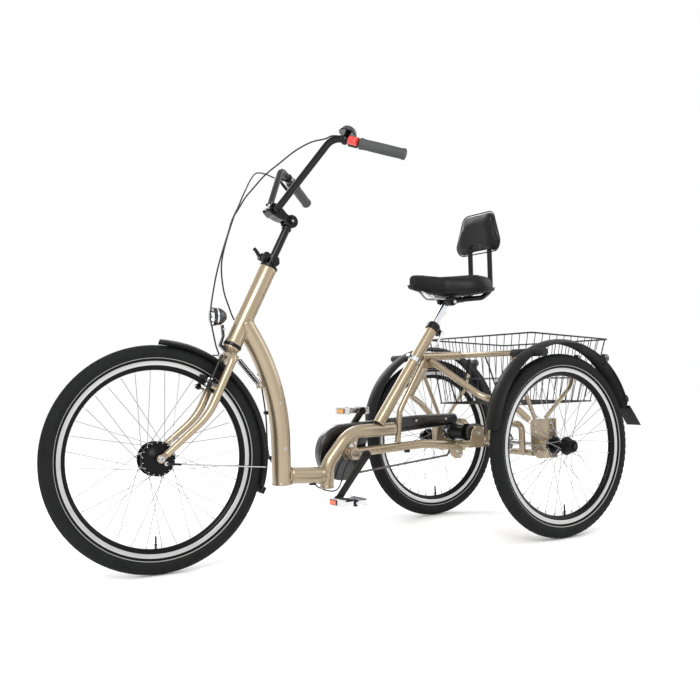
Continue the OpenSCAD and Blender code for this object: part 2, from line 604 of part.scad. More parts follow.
// ---------- seat ----------
module seat_collar() color(black) on_seat_tube() {
    translate([0, 0, -26]) ring(24, seat_tube_r + 0.1, 22);
    for (x = [-13, 4]) translate([x, 20, -24]) cube([9, 20, 18]);
    translate([-20, 32, -15]) across() cylinder(r = 3, h = 43);
}
module seat_lever() color(silver) on_seat_tube() translate([16, 32, -15]) {
    across() ring(7, 3 + run_gap, 6);
    translate([0, -2, -58]) cube([5, 6, 53]);
}
post_top = 100;
clamp_yz = [-178, 796];
module seatpost() color(silver) {
    on_seat_tube() translate([0, 0, -180]) ring(post_tube_r, 12.4, 180 + post_top - 8);
    row() translate([-32, clamp_yz[0], clamp_yz[1]]) across() cylinder(r = 16, h = 64);
}
rail_z = 804;
module saddle_rails() color(silver) row() both()
    bent_tube([[7, -300, 832], [21, -255, rail_z], [21, -112, rail_z], [46, -78, 832]], [24, 24], 3.5, 0, 10);
saddle_front = -342;
saddle_long = 288;
// Half width of the saddle: a nose, a flare and a slightly narrowing tail
function saddle_half(y) = let (t = (y - saddle_front) / saddle_long)
    t < 0.42 ? 17 + 22 * sin(t / 0.42 * 90)
    : t < 0.78 ? 39 + 81 * sin((t - 0.42) / 0.36 * 90)
    : 39 + 81 * cos((t - 0.78) / 0.22 * 42);
module saddle_outline(inset) {
    ys = [for (i = [0:16]) saddle_front + inset + (saddle_long - 2 * inset) * i / 16];
    half = [for (y = ys) max(saddle_half(y) - inset, 6)];
    polygon(concat([for (i = [0:16]) [half[i], ys[i]]], [for (i = [16:-1:0]) [-half[i], ys[i]]]));
}
module saddle_base() color(black) row() translate([0, 0, 828]) linear_extrude(8) saddle_outline(10);
module saddle_cover() color(black) row() difference() {
    union() {
        translate([0, 0, 820]) linear_extrude(57) saddle_outline(2);
        translate([0, 0, 877]) linear_extrude(12) saddle_outline(9);
        translate([0, 0, 889]) linear_extrude(7) saddle_outline(18);
    }
    translate([0, 0, 819]) linear_extrude(18) saddle_outline(9.9);
}
post_x = 52;
back_y = -25;
module backrest_posts() color(black) row() both()
    bent_tube([[24, -166, 800], [post_x, -66, 808], [post_x, back_y, 834], [post_x, back_y, 1066]], [30, 30],
        9, 1.5, 14);
module pad_outline(grow) hull() both() {
    translate([82, 1006]) circle(r = 34 + grow, $fn = 40);
    translate([55, 1080]) circle(r = 34 + grow, $fn = 40);
}
module backrest_pad() color(black) row() difference() {
    translate([0, back_y, 0]) rotate([90, 0, 0]) {
        translate([0, 0, -18]) linear_extrude(36) pad_outline(-8);
        translate([0, 0, -13]) linear_extrude(26) pad_outline(0);
    }
    both() translate([post_x, back_y, 960]) cylinder(r = 9.1, h = 106.2);
}

head_tube();
headset();
down_tube();
rear_riser();
seat_tube();
seat_braces();
chain_stay();
bb_shell();
rack_bar();
rear_stays();
axle_plates();
axle_cradle();
rear_fenders();
fender_rubbers();
rear_lights();
basket();
chain_case();
chains();
seat_collar();
gear_cable();
fork();
front_fender();
headlight();
headlight_lens();
stem_collar();
brake_cable();
brake_arm_left();
brake_arm_right();
stem_post();
stem_head();
handlebar();
grips();
lever_perches();
control_cables();
brake_lever();
shifter_ring();
bell();
parking_lever();
stem_lever();
seat_lever();
front_tyre();
front_rim();
front_hub();
rear_tyre_left();
rear_rim_left();
rear_hub_left();
rear_tyre_right();
rear_rim_right();
rear_hub_right();
seatpost();
saddle_base();
saddle_cover();
saddle_rails();
backrest_pad();
backrest_posts();
crankset();
input_sprocket();
gear_hub();
pedal_left();
pedal_right();
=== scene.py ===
import json
import math

import bmesh
import bpy
from mathutils import Matrix, Vector, noise


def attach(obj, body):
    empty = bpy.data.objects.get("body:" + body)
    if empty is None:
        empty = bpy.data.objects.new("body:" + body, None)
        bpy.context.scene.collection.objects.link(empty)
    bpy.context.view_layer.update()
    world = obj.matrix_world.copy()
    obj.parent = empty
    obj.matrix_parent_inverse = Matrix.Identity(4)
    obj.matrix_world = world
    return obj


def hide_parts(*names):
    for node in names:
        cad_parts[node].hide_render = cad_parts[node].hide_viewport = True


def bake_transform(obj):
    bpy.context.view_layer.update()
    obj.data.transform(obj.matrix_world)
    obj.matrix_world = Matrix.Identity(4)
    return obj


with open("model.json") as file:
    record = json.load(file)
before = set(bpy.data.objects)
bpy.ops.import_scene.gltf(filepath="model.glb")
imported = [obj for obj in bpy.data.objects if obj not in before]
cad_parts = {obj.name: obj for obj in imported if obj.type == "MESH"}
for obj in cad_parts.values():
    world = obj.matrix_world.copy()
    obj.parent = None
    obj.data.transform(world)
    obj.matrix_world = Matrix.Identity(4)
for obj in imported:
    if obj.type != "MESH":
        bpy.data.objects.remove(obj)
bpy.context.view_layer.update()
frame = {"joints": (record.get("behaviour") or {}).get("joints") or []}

# ---------- places, from the frame's own joints ----------
MM = 0.001
JOINTS = {joint["name"]: joint for joint in frame["joints"]}
AXLE_AT = Vector(JOINTS["rear_wheel_left_spin"]["pos_m"])
WHEEL_X = AXLE_AT.x / MM
REAR_R = AXLE_AT.z / MM
STEER_Z = Vector(JOINTS["steering_turn"]["axis"]).normalized()
STEER_X = Vector(JOINTS["front_wheel_spin"]["axis"]).normalized()
STEER_BASE = Vector(JOINTS["steering_turn"]["pos_m"]) - STEER_Z * 548 * MM
SEAT_AXIS = Vector(JOINTS["seat_height"]["axis"]).normalized()


def axes(x, y, z, origin):
    """A matrix whose columns are three directions, from millimetres to metres."""
    turned = Matrix((x, y, z)).transposed().to_4x4()
    return Matrix.Translation(origin) @ turned @ Matrix.Scale(MM, 4)


X, Y, Z = Vector((1, 0, 0)), Vector((0, 1, 0)), Vector((0, 0, 1))
ROW = axes(X, Y, Z, Vector((0, AXLE_AT.y, 0)))
STEER = axes(STEER_X, STEER_Z.cross(STEER_X), STEER_Z, STEER_BASE)
SEAT = axes(X, SEAT_AXIS.cross(X), SEAT_AXIS, ROW @ Vector((0, -238, 716)))
MIRROR = Matrix.Scale(-1, 4, X)


def move(x, y, z):
    return Matrix.Translation((x, y, z))


def turn(degrees, axis):
    return Matrix.Rotation(math.radians(degrees), 4, axis)


def toward(a, b):
    """Stands Z along the line from a to b, the way the CAD model does."""
    d = Vector(b) - Vector(a)
    lean = math.degrees(math.acos(d.z / d.length))
    return move(*a) @ turn(math.degrees(math.atan2(d.y, d.x)), "Z") @ turn(lean, "Y")


ACROSS = turn(90, "Y")
BAR_END = Vector((335, 130, 1074))
BAR_TOP = Vector((193, -47, 1066))
BAR_LOW = Vector((42, -65, 840))
BAR_R = 11.1


def on_grip(d, right=False):
    """Z runs along the bar from the grip's end, +X points down and +Y forward."""
    place = toward(BAR_END, BAR_TOP) @ move(0, 0, d)
    return STEER @ (MIRROR @ place if right else place)


# ---------- materials ----------
def set_inputs(shader, **values):
    for name, value in values.items():
        socket = shader.inputs[name.replace("_", " ")]
        socket.default_value = value


def noise_node(nodes, links, coords, scale, detail=3.0):
    texture = nodes.new("ShaderNodeTexNoise")
    texture.inputs["Scale"].default_value = scale
    texture.inputs["Detail"].default_value = detail
    links.new(coords.outputs["Object"], texture.inputs["Vector"])
    return texture


def material(name, color, rough=0.5, metal=0.0, coat=0.0, vary=0.12, vary_scale=18.0, grain=0.0,
             grain_scale=600.0, grain_kind="noise", rough_vary=0.08, **more):
    """A surface whose colour and roughness drift a little, with a fine grain in its bump."""
    mat = bpy.data.materials.new(name)
    mat.use_nodes = True
    nodes, links = mat.node_tree.nodes, mat.node_tree.links
    shader = nodes["Principled BSDF"]
    coords = nodes.new("ShaderNodeTexCoord")
    drift = noise_node(nodes, links, coords, vary_scale)
    ramp = nodes.new("ShaderNodeValToRGB")
    ramp.color_ramp.elements[0].position = 0.3
    ramp.color_ramp.elements[1].position = 0.7
    ramp.color_ramp.elements[0].color = [c * (1 - vary) for c in color] + [1]
    ramp.color_ramp.elements[1].color = [min(1, c * (1 + vary)) for c in color] + [1]
    links.new(drift.outputs["Fac"], ramp.inputs["Fac"])
    links.new(ramp.outputs["Color"], shader.inputs["Base Color"])
    if rough_vary:
        worn = noise_node(nodes, links, coords, vary_scale * 4, 5.0)
        spread = nodes.new("ShaderNodeMapRange")
        spread.inputs["To Min"].default_value = max(0.02, rough - rough_vary)
        spread.inputs["To Max"].default_value = min(1.0, rough + rough_vary)
        links.new(worn.outputs["Fac"], spread.inputs["Value"])
        links.new(spread.outputs["Result"], shader.inputs["Roughness"])
    else:
        shader.inputs["Roughness"].default_value = rough
    shader.inputs["Metallic"].default_value = metal
    shader.inputs["Coat Weight"].default_value = coat
    shader.inputs["Coat Roughness"].default_value = 0.08
    set_inputs(shader, **more)
    if grain:
        bump = nodes.new("ShaderNodeBump")
        bump.inputs["Strength"].default_value = grain
        bump.inputs["Distance"].default_value = 0.0006
        if grain_kind == "leather":
            cells = nodes.new("ShaderNodeTexVoronoi")
            cells.feature = "DISTANCE_TO_EDGE"
            cells.inputs["Scale"].default_value = grain_scale
            links.new(coords.outputs["Object"], cells.inputs["Vector"])
            links.new(cells.outputs["Distance"], bump.inputs["Height"])
        else:
            fine = noise_node(nodes, links, coords, grain_scale, 2.0)
            links.new(fine.outputs["Fac"], bump.inputs["Height"])
        links.new(bump.outputs["Normal"], shader.inputs["Normal"])
    return mat


PAINT = material("frame_paint", (0.355, 0.283, 0.19), 0.27, 0.7, 0.5, vary=0.03, vary_scale=5, grain=0.015,
                 grain_scale=2600, rough_vary=0.03)
BLACK = material("black_paint", (0.003, 0.003, 0.0035), 0.24, 0.0, 0.15, grain=0.04, grain_scale=1500,
                 Specular_IOR_Level=0.22)
SATIN = material("satin_plastic", (0.004, 0.004, 0.0042), 0.42, grain=0.12, grain_scale=1400,
                 Specular_IOR_Level=0.2)
GLOSS = material("gloss_plastic", (0.004, 0.004, 0.0045), 0.2, 0.0, 0.5, rough_vary=0.05)
TYRE = material("tyre_rubber", (0.006, 0.0062, 0.0066), 0.7, vary=0.25, vary_scale=30, grain=0.3,
                grain_scale=900, Specular_IOR_Level=0.18)
STRIPE = material("reflective_stripe", (0.26, 0.26, 0.25), 0.4, vary=0.04, grain=0.1, grain_scale=1800)
TRACK = material("brake_track", (0.50, 0.50, 0.50), 0.3, 0.9, vary=0.05, grain=0.08, grain_scale=2500)
DARK_ALLOY = material("black_anodised", (0.003, 0.003, 0.0032), 0.3, 0.0, 0.02, grain=0.06, grain_scale=1500,
                      Specular_IOR_Level=0.12)
ALLOY = material("alloy", (0.66, 0.66, 0.67), 0.27, 0.95, vary=0.06, grain=0.1, grain_scale=1200)
STEEL = material("zinc_steel", (0.56, 0.56, 0.58), 0.26, 1.0, vary=0.05)
SPOKE = material("spoke_steel", (0.30, 0.30, 0.31), 0.36, 0.9, vary=0.05)
CHROME = material("chrome", (0.80, 0.81, 0.83), 0.07, 1.0, vary=0.02, rough_vary=0.03)
CHAIN = material("oiled_chain", (0.16, 0.15, 0.14), 0.38, 0.9, vary=0.25, vary_scale=60)
GRIP = material("grip_rubber", (0.045, 0.046, 0.047), 0.65, vary=0.15, grain=0.4, grain_scale=1100)
RUBBER = material("soft_rubber", (0.007, 0.007, 0.0075), 0.6, grain=0.2, grain_scale=1000,
                  Specular_IOR_Level=0.3)
CABLE = material("cable_jacket", (0.005, 0.005, 0.0055), 0.35, grain=0.05, Specular_IOR_Level=0.35)
RED = material("red_plastic", (0.66, 0.028, 0.022), 0.28, 0.0, 0.3, vary=0.06)
VINYL = material("saddle_vinyl", (0.005, 0.005, 0.0052), 0.4, vary=0.15, grain=0.28, grain_scale=420,
                 grain_kind="leather", Specular_IOR_Level=0.2, Sheen_Weight=0.015)
WIRE = material("coated_wire", (0.004, 0.004, 0.0045), 0.38, grain=0.08, Specular_IOR_Level=0.3)
AMBER = material("amber_reflector", (0.80, 0.33, 0.03), 0.2, 0.0, 0.6, vary=0.1, vary_scale=120)
ORANGE = material("orange_reflector", (0.85, 0.10, 0.03), 0.22, 0.0, 0.6, vary=0.1, vary_scale=120)
LAMP_RED = material("lamp_red", (0.30, 0.008, 0.008), 0.14, 0.0, 0.8, vary=0.1, vary_scale=90)
MIRROR_BOWL = material("lamp_reflector", (0.9, 0.9, 0.92), 0.08, 1.0, vary=0.02, rough_vary=0.03)
LENS = material("clear_lens", (0.96, 0.97, 0.98), 0.03, vary=0.01, rough_vary=0.0, Transmission_Weight=1.0,
                IOR=1.49)


# ---------- mesh building ----------
def bent(points, bends, step=5.0):
    """A path through points with a bend of the given radius at each inner one."""
    path = [Vector(points[0])]
    for a, b, c, radius in zip(points, points[1:], points[2:], bends):
        a, b, c = Vector(a), Vector(b), Vector(c)
        u, v = (b - a).normalized(), (c - b).normalized()
        bend = u.angle(v)
        centre = b + (v - u).normalized() * radius / math.cos(bend / 2)
        out = (b - u * radius * math.tan(bend / 2) - centre).normalized()
        count = max(2, math.ceil(math.degrees(bend) / step))
        for i in range(count + 1):
            t = bend * i / count
            path.append(centre + radius * (out * math.cos(t) + u * math.sin(t)))
    path.append(Vector(points[-1]))
    return path


def curve(points, steps=8):
    """A smooth curve through points."""
    p = [Vector(q) for q in points]
    path = []
    for i in range(len(p) - 1):
        a, b, c, d = p[max(i - 1, 0)], p[i], p[i + 1], p[min(i + 2, len(p) - 1)]
        for k in range(steps):
            t = k / steps
            path.append(0.5 * (2 * b + (c - a) * t + (2 * a - 5 * b + 4 * c - d) * t * t
                               + (3 * b - a - 3 * c + d) * t ** 3))
    path.append(p[-1])
    return path


def flip(points):
    return [Vector((-p[0], p[1], p[2])) for p in points]


def circle_outline(y, z, radius, start=0, end=360, steps=24):
    span = range(steps + (abs(end - start) < 360))
    return [(y + radius * math.cos(math.radians(start + (end - start) * i / steps)),
             z + radius * math.sin(math.radians(start + (end - start) * i / steps))) for i in span]


class Part:
    """One visible piece, built in millimetres in the place's own axes."""

    def __init__(self, name, place=ROW):
        self.name, self.place = name, place
        self.mesh = bmesh.new()
        self.materials = []

    def slot_of(self, mat):
        if mat not in self.materials:
            self.materials.append(mat)
        return self.materials.index(mat)

    def skin(self, rings, mat, around=True, along=False, caps=True):
        """Quads between rings of points; around closes each ring and along joins the last to the first."""
        index = self.slot_of(mat)
        rows = [[self.mesh.verts.new(p) for p in ring] for ring in rings]
        count = len(rows[0])
        pairs = list(zip(rows, rows[1:])) + ([(rows[-1], rows[0])] if along else [])
        for low, high in pairs:
            for i in range(count if around else count - 1):
                j = (i + 1) % count
                self.face((low[i], low[j], high[j], high[i]), index)
        if caps and around and not along:
            self.face(rows[0][::-1], index)
            self.face(rows[-1], index)

    def face(self, verts, index):
        face = self.mesh.faces.new(verts)
        face.material_index = index
        face.smooth = True

    def sweep(self, points, radius, mat, sides=20, at=None, caps=True, closed=False):
        """A round bar along points; radius is a number or a function of the share of the way along."""
        at = at or Matrix()
        p = [at @ Vector(q) for q in points]
        last = len(p) - 1
        rings = []
        side = None
        for i, centre in enumerate(p):
            if closed:
                ahead = p[(i + 1) % len(p)] - p[i - 1]
            else:
                ahead = p[min(i + 1, last)] - p[max(i - 1, 0)]
            ahead.normalize()
            if side is None:
                side = ahead.orthogonal().normalized()
            side = (side - ahead * side.dot(ahead)).normalized()
            other = ahead.cross(side)
            r = radius(i / last) if callable(radius) else radius
            rings.append([centre + r * (side * math.cos(a) + other * math.sin(a))
                          for a in (2 * math.pi * k / sides for k in range(sides))])
        self.skin(rings, mat, along=closed, caps=caps)

    def lathe(self, profile, mat, at=None, steps=40, closed=False):
        """Turns a profile of (radius, height) about local Z; closed joins its last point to its first."""
        at = at or Matrix()
        rings = []
        for k in range(steps):
            a = 2 * math.pi * k / steps
            rings.append([at @ Vector((r * math.cos(a), r * math.sin(a), z)) for r, z in profile])
        self.skin(rings, mat, around=closed, along=True, caps=False)

    def prism(self, outline, x0, x1, mat, at=None):
        """A Y-Z outline between two places along X."""
        at = at or Matrix()
        self.skin([[at @ Vector((x, y, z)) for y, z in outline] for x in (x0, x1)], mat)

    def block(self, low, high, mat, at=None):
        self.prism([(low[1], low[2]), (high[1], low[2]), (high[1], high[2]), (low[1], high[2])], low[0],
                   high[0],
                   mat, at)

    def rod(self, a, b, radius, mat, sides=12, at=None):
        self.sweep([a, b], radius, mat, sides, at)

    def bolt(self, at, mat, radius=5.0, height=4.0):
        """A domed socket screw head that stands on the local Z axis."""
        r, h = radius, height
        self.lathe([(0.01, h * 0.45), (r * 0.45, h * 0.45), (r * 0.45, h), (r * 0.8, h), (r, h * 0.7), (r, 0),
                    (0.01, 0)], mat, at, 20)

    def nut(self, at, mat, radius=8.0, height=6.0):
        ring = circle_outline(0, 0, radius, steps=6)
        self.skin([[at @ Vector((x, y, z)) for x, y in ring] for z in (0, height)], mat)

    def weld(self, centre, normal, radius, mat, bead=3.0):
        """A weld bead: a thin rippled ring round a joint."""
        n = Vector(normal).normalized()
        side = n.orthogonal().normalized()
        other = n.cross(side)
        points = []
        for k in range(48):
            a = 2 * math.pi * k / 48
            ripple = 0.35 if k % 2 else 0.0
            points.append(Vector(centre) + (radius + ripple) * (side * math.cos(a) + other * math.sin(a)))
        self.sweep(points, bead, mat, 8, closed=True)

    def done(self, body, *stands_for, slot=None, bevel=0.0, angle=38, fix=True):
        """Makes the object, lets it ride on a body and stands it for CAD nodes."""
        if fix:
            bmesh.ops.recalc_face_normals(self.mesh, faces=self.mesh.faces)
        data = bpy.data.meshes.new(self.name)
        self.mesh.to_mesh(data)
        self.mesh.free()
        data.transform(self.place)
        if self.place.determinant() < 0:
            data.flip_normals()
        for mat in self.materials:
            data.materials.append(mat)
        data.set_sharp_from_angle(angle=math.radians(angle))
        piece = bpy.data.objects.new(self.name, data)
        bpy.context.scene.collection.objects.link(piece)
        if bevel:
            edges = piece.modifiers.new("edges", "BEVEL")
            edges.width = bevel * MM
            edges.segments = 2
            edges.limit_method = "ANGLE"
            edges.angle_limit = math.radians(42)
            edges.harden_normals = False
        if isinstance(body, str):
            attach(piece, body)
        else:
            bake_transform(piece)
        if stands_for:
            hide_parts(*stands_for)
        return piece


# ---------- camera, light and floor ----------
def stage():
    camera_data = bpy.data.cameras.new("camera")
    camera_data.lens = 47.54
    camera_data.sensor_width = 36
    camera = bpy.data.objects.new("camera", camera_data)
    right, up, ahead = Vector((0.5388, 0.842, -0.0277)), Vector((0.0371, 0.0091, 0.9993)), Vector(
        (-0.8416, 0.5394, 0.0264))
    view = Matrix((right, up, -ahead)).transposed().to_4x4()
    camera.matrix_world = Matrix.Translation((2.5276, AXLE_AT.y - 2.209, 0.5518)) @ view
    bpy.context.scene.collection.objects.link(camera)
    bpy.context.scene.camera = camera

    floor_mat = bpy.data.materials.new("floor")
    floor_mat.use_nodes = True
    set_inputs(floor_mat.node_tree.nodes["Principled BSDF"], Base_Color=(1, 1, 1, 1), Roughness=1.0,
               Specular_IOR_Level=0.0)
    bpy.ops.mesh.primitive_plane_add(size=40, location=(0, 0, -0.0008))
    floor = bpy.context.object
    floor.name = "floor"
    floor.data.materials.append(floor_mat)

    world = bpy.data.worlds.new("studio")
    bpy.context.scene.world = world
    world.use_nodes = True
    world.node_tree.nodes["Background"].inputs["Color"].default_value = (1, 1, 1, 1)
    world.node_tree.nodes["Background"].inputs["Strength"].default_value = 1.0
    bpy.context.scene.view_settings.view_transform = "Standard"
    for name, at, energy, size in (("key", (3.2, -2.6, 3.4), 130, 2.4), ("fill", (1.5, 3.6, 2.2), 40, 3.0),
                                   ("back", (-3.5, 0.5, 3.0), 55, 2.5)):
        data = bpy.data.lights.new(name, "AREA")
        data.energy, data.size = energy, size
        lamp = bpy.data.objects.new(name, data)
        lamp.location = at
        lamp.rotation_euler = (Vector((0, 0, 0.5)) - Vector(at)).to_track_quat("-Z", "Y").to_euler()
        bpy.context.scene.collection.objects.link(lamp)


stage()

# ---------- cables ----------
CABLE_R = 2.4
LEFT_ROUTE = [(219, -37, 1067), (202, -54, 1062), (184, -65, 1050), (165, -93, 1026), (135, -118, 988),
              (100, -137, 940), (70, -153, 897), (44, -162, 850)]
RIGHT_ROUTE = [(-228, -12, 1054), (-208, -52, 1032), (-185, -90, 1016), (-150, -127, 985), (-110, -144, 938),
               (-65, -155, 878), (-42, -160, 845)]
LEFT_MIDDLE = [(44, -162, 850), (32, -168, 818), (22, -169, 787)]
RIGHT_MIDDLE = [(-42, -160, 845), (-32, -161, 820), (-21, -163, 792)]
LEFT_POST = [(15, -169, 770), (10, -169, 752)]
RIGHT_POST = [(-13, -165, 768)]
GEAR_HEAD = [(9, -1024, 962), (6, -1040, 891)]
FORK_ROUTE = [(-8, -165, 742), (-2, -160, 700), (2, -155, 656), (16, -148, 590), (32, -136, 520),
              (36, -110, 440), (34, -60, 372), (24, -34, 350), (-26, -34, 352)]
GEAR_ROUTE = [(-5, -1031, 820), (-25, -1006, 770), (-38, -980, 725), (-41, -945, 690), (-38, -915, 640),
              (-35, -902, 560), (-35, -884, 440), (-35, -874, 300), (-35, -822, 262), (-32, -740, 244),
              (-27, -708, 196), (-20, -640, 182), (-18, -600, 260), (-22, -540, 284), (-22, -300, 294),
              (-30, -215, 300)]


def split_curve(points, *counts):
    """One smooth curve through points, cut into pieces with the given numbers of spans."""
    path = curve(points)
    ends = [0]
    for count in counts:
        ends.append(ends[-1] + 8 * count)
    return [path[a:b + 1] for a, b in zip(ends, ends[1:])]


def cables():
    in_steer = STEER.inverted() @ ROW
    gear = [in_steer @ Vector(p) for p in GEAR_HEAD + GEAR_ROUTE]
    ends, head, post = len(LEFT_ROUTE) - 1, len(LEFT_MIDDLE) - 1, len(LEFT_POST)
    left = split_curve(LEFT_ROUTE + LEFT_MIDDLE[1:] + LEFT_POST + gear, ends, head, post,
                       len(GEAR_HEAD) + 1, len(GEAR_ROUTE) - 1)
    ends, head, post = len(RIGHT_ROUTE) - 1, len(RIGHT_MIDDLE) - 1, len(RIGHT_POST) + 1
    right = split_curve(RIGHT_ROUTE + RIGHT_MIDDLE[1:] + RIGHT_POST + FORK_ROUTE, ends, head, post,
                        len(FORK_ROUTE) - 1)

    part = Part("control_cable_ends", STEER)
    part.sweep(left[0], CABLE_R, CABLE, 12)
    part.sweep(right[0], CABLE_R, CABLE, 12)
    part.done("handlebar", "control_cables", slot="rubber")

    part = Part("cables_at_stem_head", STEER)
    part.sweep(left[1], CABLE_R, CABLE, 12)
    part.sweep(right[1], CABLE_R, CABLE, 12)
    part.done(("handlebar", "stem", STEER @ Vector((0, -161, 850)), STEER @ Vector((0, -166, 787))),
              slot="rubber")

    part = Part("cables_at_stem_post", STEER)
    part.sweep(left[2], CABLE_R, CABLE, 12)
    part.sweep(right[2], CABLE_R, CABLE, 12)
    part.done(("stem", "steering", STEER @ Vector((0, -166, 787)), STEER @ Vector((0, -167, 750))),
              slot="rubber")

    part = Part("brake_cable_run", STEER)
    part.sweep(right[3], CABLE_R, CABLE, 12)
    part.done("steering", "brake_cable", slot="rubber")

    part = Part("gear_cable_at_head", STEER)
    part.sweep(left[3], CABLE_R, CABLE, 12)
    part.done(("steering", "frame", STEER @ left[3][0], STEER @ left[3][-1]), slot="rubber")

    part = Part("gear_cable_run", STEER)
    part.sweep(left[4], CABLE_R, CABLE, 12)
    part.done("frame", "gear_cable", slot="rubber")
    part = Part("gear_cable_clips")
    for y, z in ((-902, 560), (-884, 440), (-874, 300)):
        part.prism(circle_outline(y, z, 6, steps=16), -38.5, -24, SATIN)
    part.done("frame", slot="black_plastic")


cables()


# ---------- wheels ----------
TYRE_W = 47
TREAD_BLOCKS = 84


def tyre(name, body, place, r, node):
    """A tyre with shoulder blocks, centre grooves and a reflective stripe on each side wall."""
    part = Part(name, place)
    tube_r = TYRE_W / 2
    centre = r - tube_r
    section = 44
    steps = TREAD_BLOCKS * 6
    rubber, stripe = part.slot_of(TYRE), part.slot_of(STRIPE)
    rows = []
    for i in range(steps):
        a = 2 * math.pi * i / steps
        ring = []
        for k in range(section + 1):
            b = math.radians(-148 + 296 * k / section)
            reach = tube_r - 0.3
            across = abs(math.degrees(b))
            phase = (i + (3 if b > 0 else 0)) % 6
            if across < 6:
                reach -= 1.0
            elif 22 < across < 27:
                reach -= 1.2
            elif 27 <= across < 62 and phase < 2:
                reach -= 1.3
            elif across < 22 and (i + k) % 6 == 0:
                reach -= 0.9
            elif 78 < across < 82:
                reach += 0.5
            elif 118 < across < 124:
                reach -= 0.6
            reach = reach if across < 140 else reach - (across - 140) * 0.25
            out = centre + reach * math.cos(b)
            ring.append(part.mesh.verts.new((reach * math.sin(b), out * math.cos(a), out * math.sin(a))))
        rows.append(ring)
    for low, high in zip(rows, rows[1:] + rows[:1]):
        for k in range(section):
            across = abs(-148 + 296 * (k + 0.5) / section)
            part.face((low[k], low[k + 1], high[k + 1], high[k]), stripe if 128 < across < 134 else rubber)
    part.done(body, node, slot="tyre", angle=50)


def rim(name, body, place, r, node, valve_at):
    """A box-section rim: polished brake tracks outside, black between, a black flange painted in as the tyre
    bead's shade, with nipples and a valve.
    """
    part = Part(name, place)
    out = r - TYRE_W + 6
    # The flange ring is black: a dark band of painted shade standing in for the shadow the tyre's bead casts
    # on the rim's edge.
    shaded_flange = [(out + 1.0, 11.4), (out + 1.2, 12.6), (out - 2, 13.1), (out - 6, 13.1)]
    track = [(out - 6, 13.1), (out - 17, 13.0), (out - 18, 12.4)]
    box = [(out - 18, 12.4), (out - 22, 11.4), (out - 28, 8), (out - 31.5, 3.5), (out - 32, 0)]
    across = ACROSS
    for s in (1, -1):
        part.lathe([(q, s * h) for q, h in shaded_flange], DARK_ALLOY, across, 144)
        part.lathe([(q, s * h) for q, h in track], TRACK, across, 144)
        part.lathe([(q, s * h) for q, h in box], DARK_ALLOY, across, 144)
    part.lathe([(out + 1.0, 11.4), (out - 6, 9.5), (out - 9, 0), (out - 6, -9.5), (out + 1.0, -11.4)], ALLOY,
               across,
               144)
    for k in range(36):
        a = 360 * k / 36
        at = turn(a, "X") @ move(0, out - 31.8, 0) @ turn(90, "X")
        part.lathe([(0.01, 9), (1.2, 9), (2.1, 6.5), (2.2, 0)], STEEL, at, 8)
    valve = turn(valve_at, "X") @ move(0, out - 31, 0) @ turn(90, "X")
    part.lathe([(0.01, 36), (2.2, 36), (2.6, 30), (2.6, 14), (4.6, 13), (4.6, 10), (3.2, 9), (3.2, 0)],
               RUBBER, valve,
               14)
    part.done(body, node, slot="rim_metal", angle=32)


def spokes(part, r, flange_x, flange_r):
    """Thirty-six crossed spokes with a bent head at the hub's flanges."""
    far = r - TYRE_W + 6 - 36
    for k in range(36):
        side = 1 if k % 2 == 0 else -1
        lean = 1 if (k // 2) % 2 == 0 else -1
        out, at = math.radians(10 * k), math.radians(10 * k + lean * 40)
        x = side * flange_x + lean * 2.4
        hub = Vector((x, flange_r * math.cos(at), flange_r * math.sin(at)))
        head = Vector((side * flange_x - lean * 2.4, hub.y, hub.z))
        end = Vector((side * 3, far * math.cos(out), far * math.sin(out)))
        part.sweep([head, Vector((x - lean, hub.y, hub.z)), hub + (end - hub).normalized() * 2, end], 1.0,
                   SPOKE, 7)


FRONT_HUB = [(0.01, -44), (9, -44), (14, -42), (15, -34), (22, -32), (32, -28), (38, -24.4), (49.5, -24.2),
             (50, -23.8),
             (50, -20.4), (49.5, -20), (43, -19.4), (42.4, -14), (42.4, 14), (43, 19.4), (49.5, 20),
             (50, 20.4),
             (50, 23.8), (49.5, 24.2), (38, 24.4), (30, 29), (22, 33), (15, 35), (14, 41), (9, 43),
             (0.01, 43)]
REAR_HUB = [(0.01, -41.5), (14.5, -41.5), (15.5, -40.5), (19, -38), (19, -30.5), (21, -28.4), (29.5, -28.2),
            (30, -27.8),
            (30, -24.2), (29.5, -23.8), (18, -23.4), (16.6, -18), (16.6, 18), (18, 23.4), (29.5, 23.8),
            (30, 24.2),
            (30, 27.8), (29.5, 28.2), (22, 28.6), (18, 32), (20, 34), (20.4, 36), (20.4, 54), (19.5, 57),
            (17, 59.6),
            (12, 60), (11, 58.6), (0.01, 58.6)]


def front_wheel():
    place = STEER @ move(0, -65, 0)
    r = place.translation.z / MM
    tyre("front_tyre_tread", "front_wheel", place, r, "front_tyre")
    rim("front_rim_section", "front_wheel", place, r, "front_rim", -64)
    part = Part("front_hub_and_spokes", place)
    part.lathe(FRONT_HUB, DARK_ALLOY, ACROSS, 56)
    part.lathe([(43.2, -9), (44.6, -8.4), (44.6, -5.6), (43.2, -5)], DARK_ALLOY, ACROSS, 56)
    part.lathe([(43.2, 5), (44.6, 5.6), (44.6, 8.4), (43.2, 9)], DARK_ALLOY, ACROSS, 56)
    for k in range(18):
        for x in (-24.2, 24.2):
            spot = turn(20 * k, "X") @ move(x, 46, 0)
            part.lathe([(0.01, 0.9), (1.6, 0.7), (2.0, 0)], STEEL, spot @ turn(90 if x > 0 else -90, "Y"), 8)
    spokes(part, r, 22, 46)
    part.done("front_wheel", "front_hub", slot="hub_metal", angle=30)


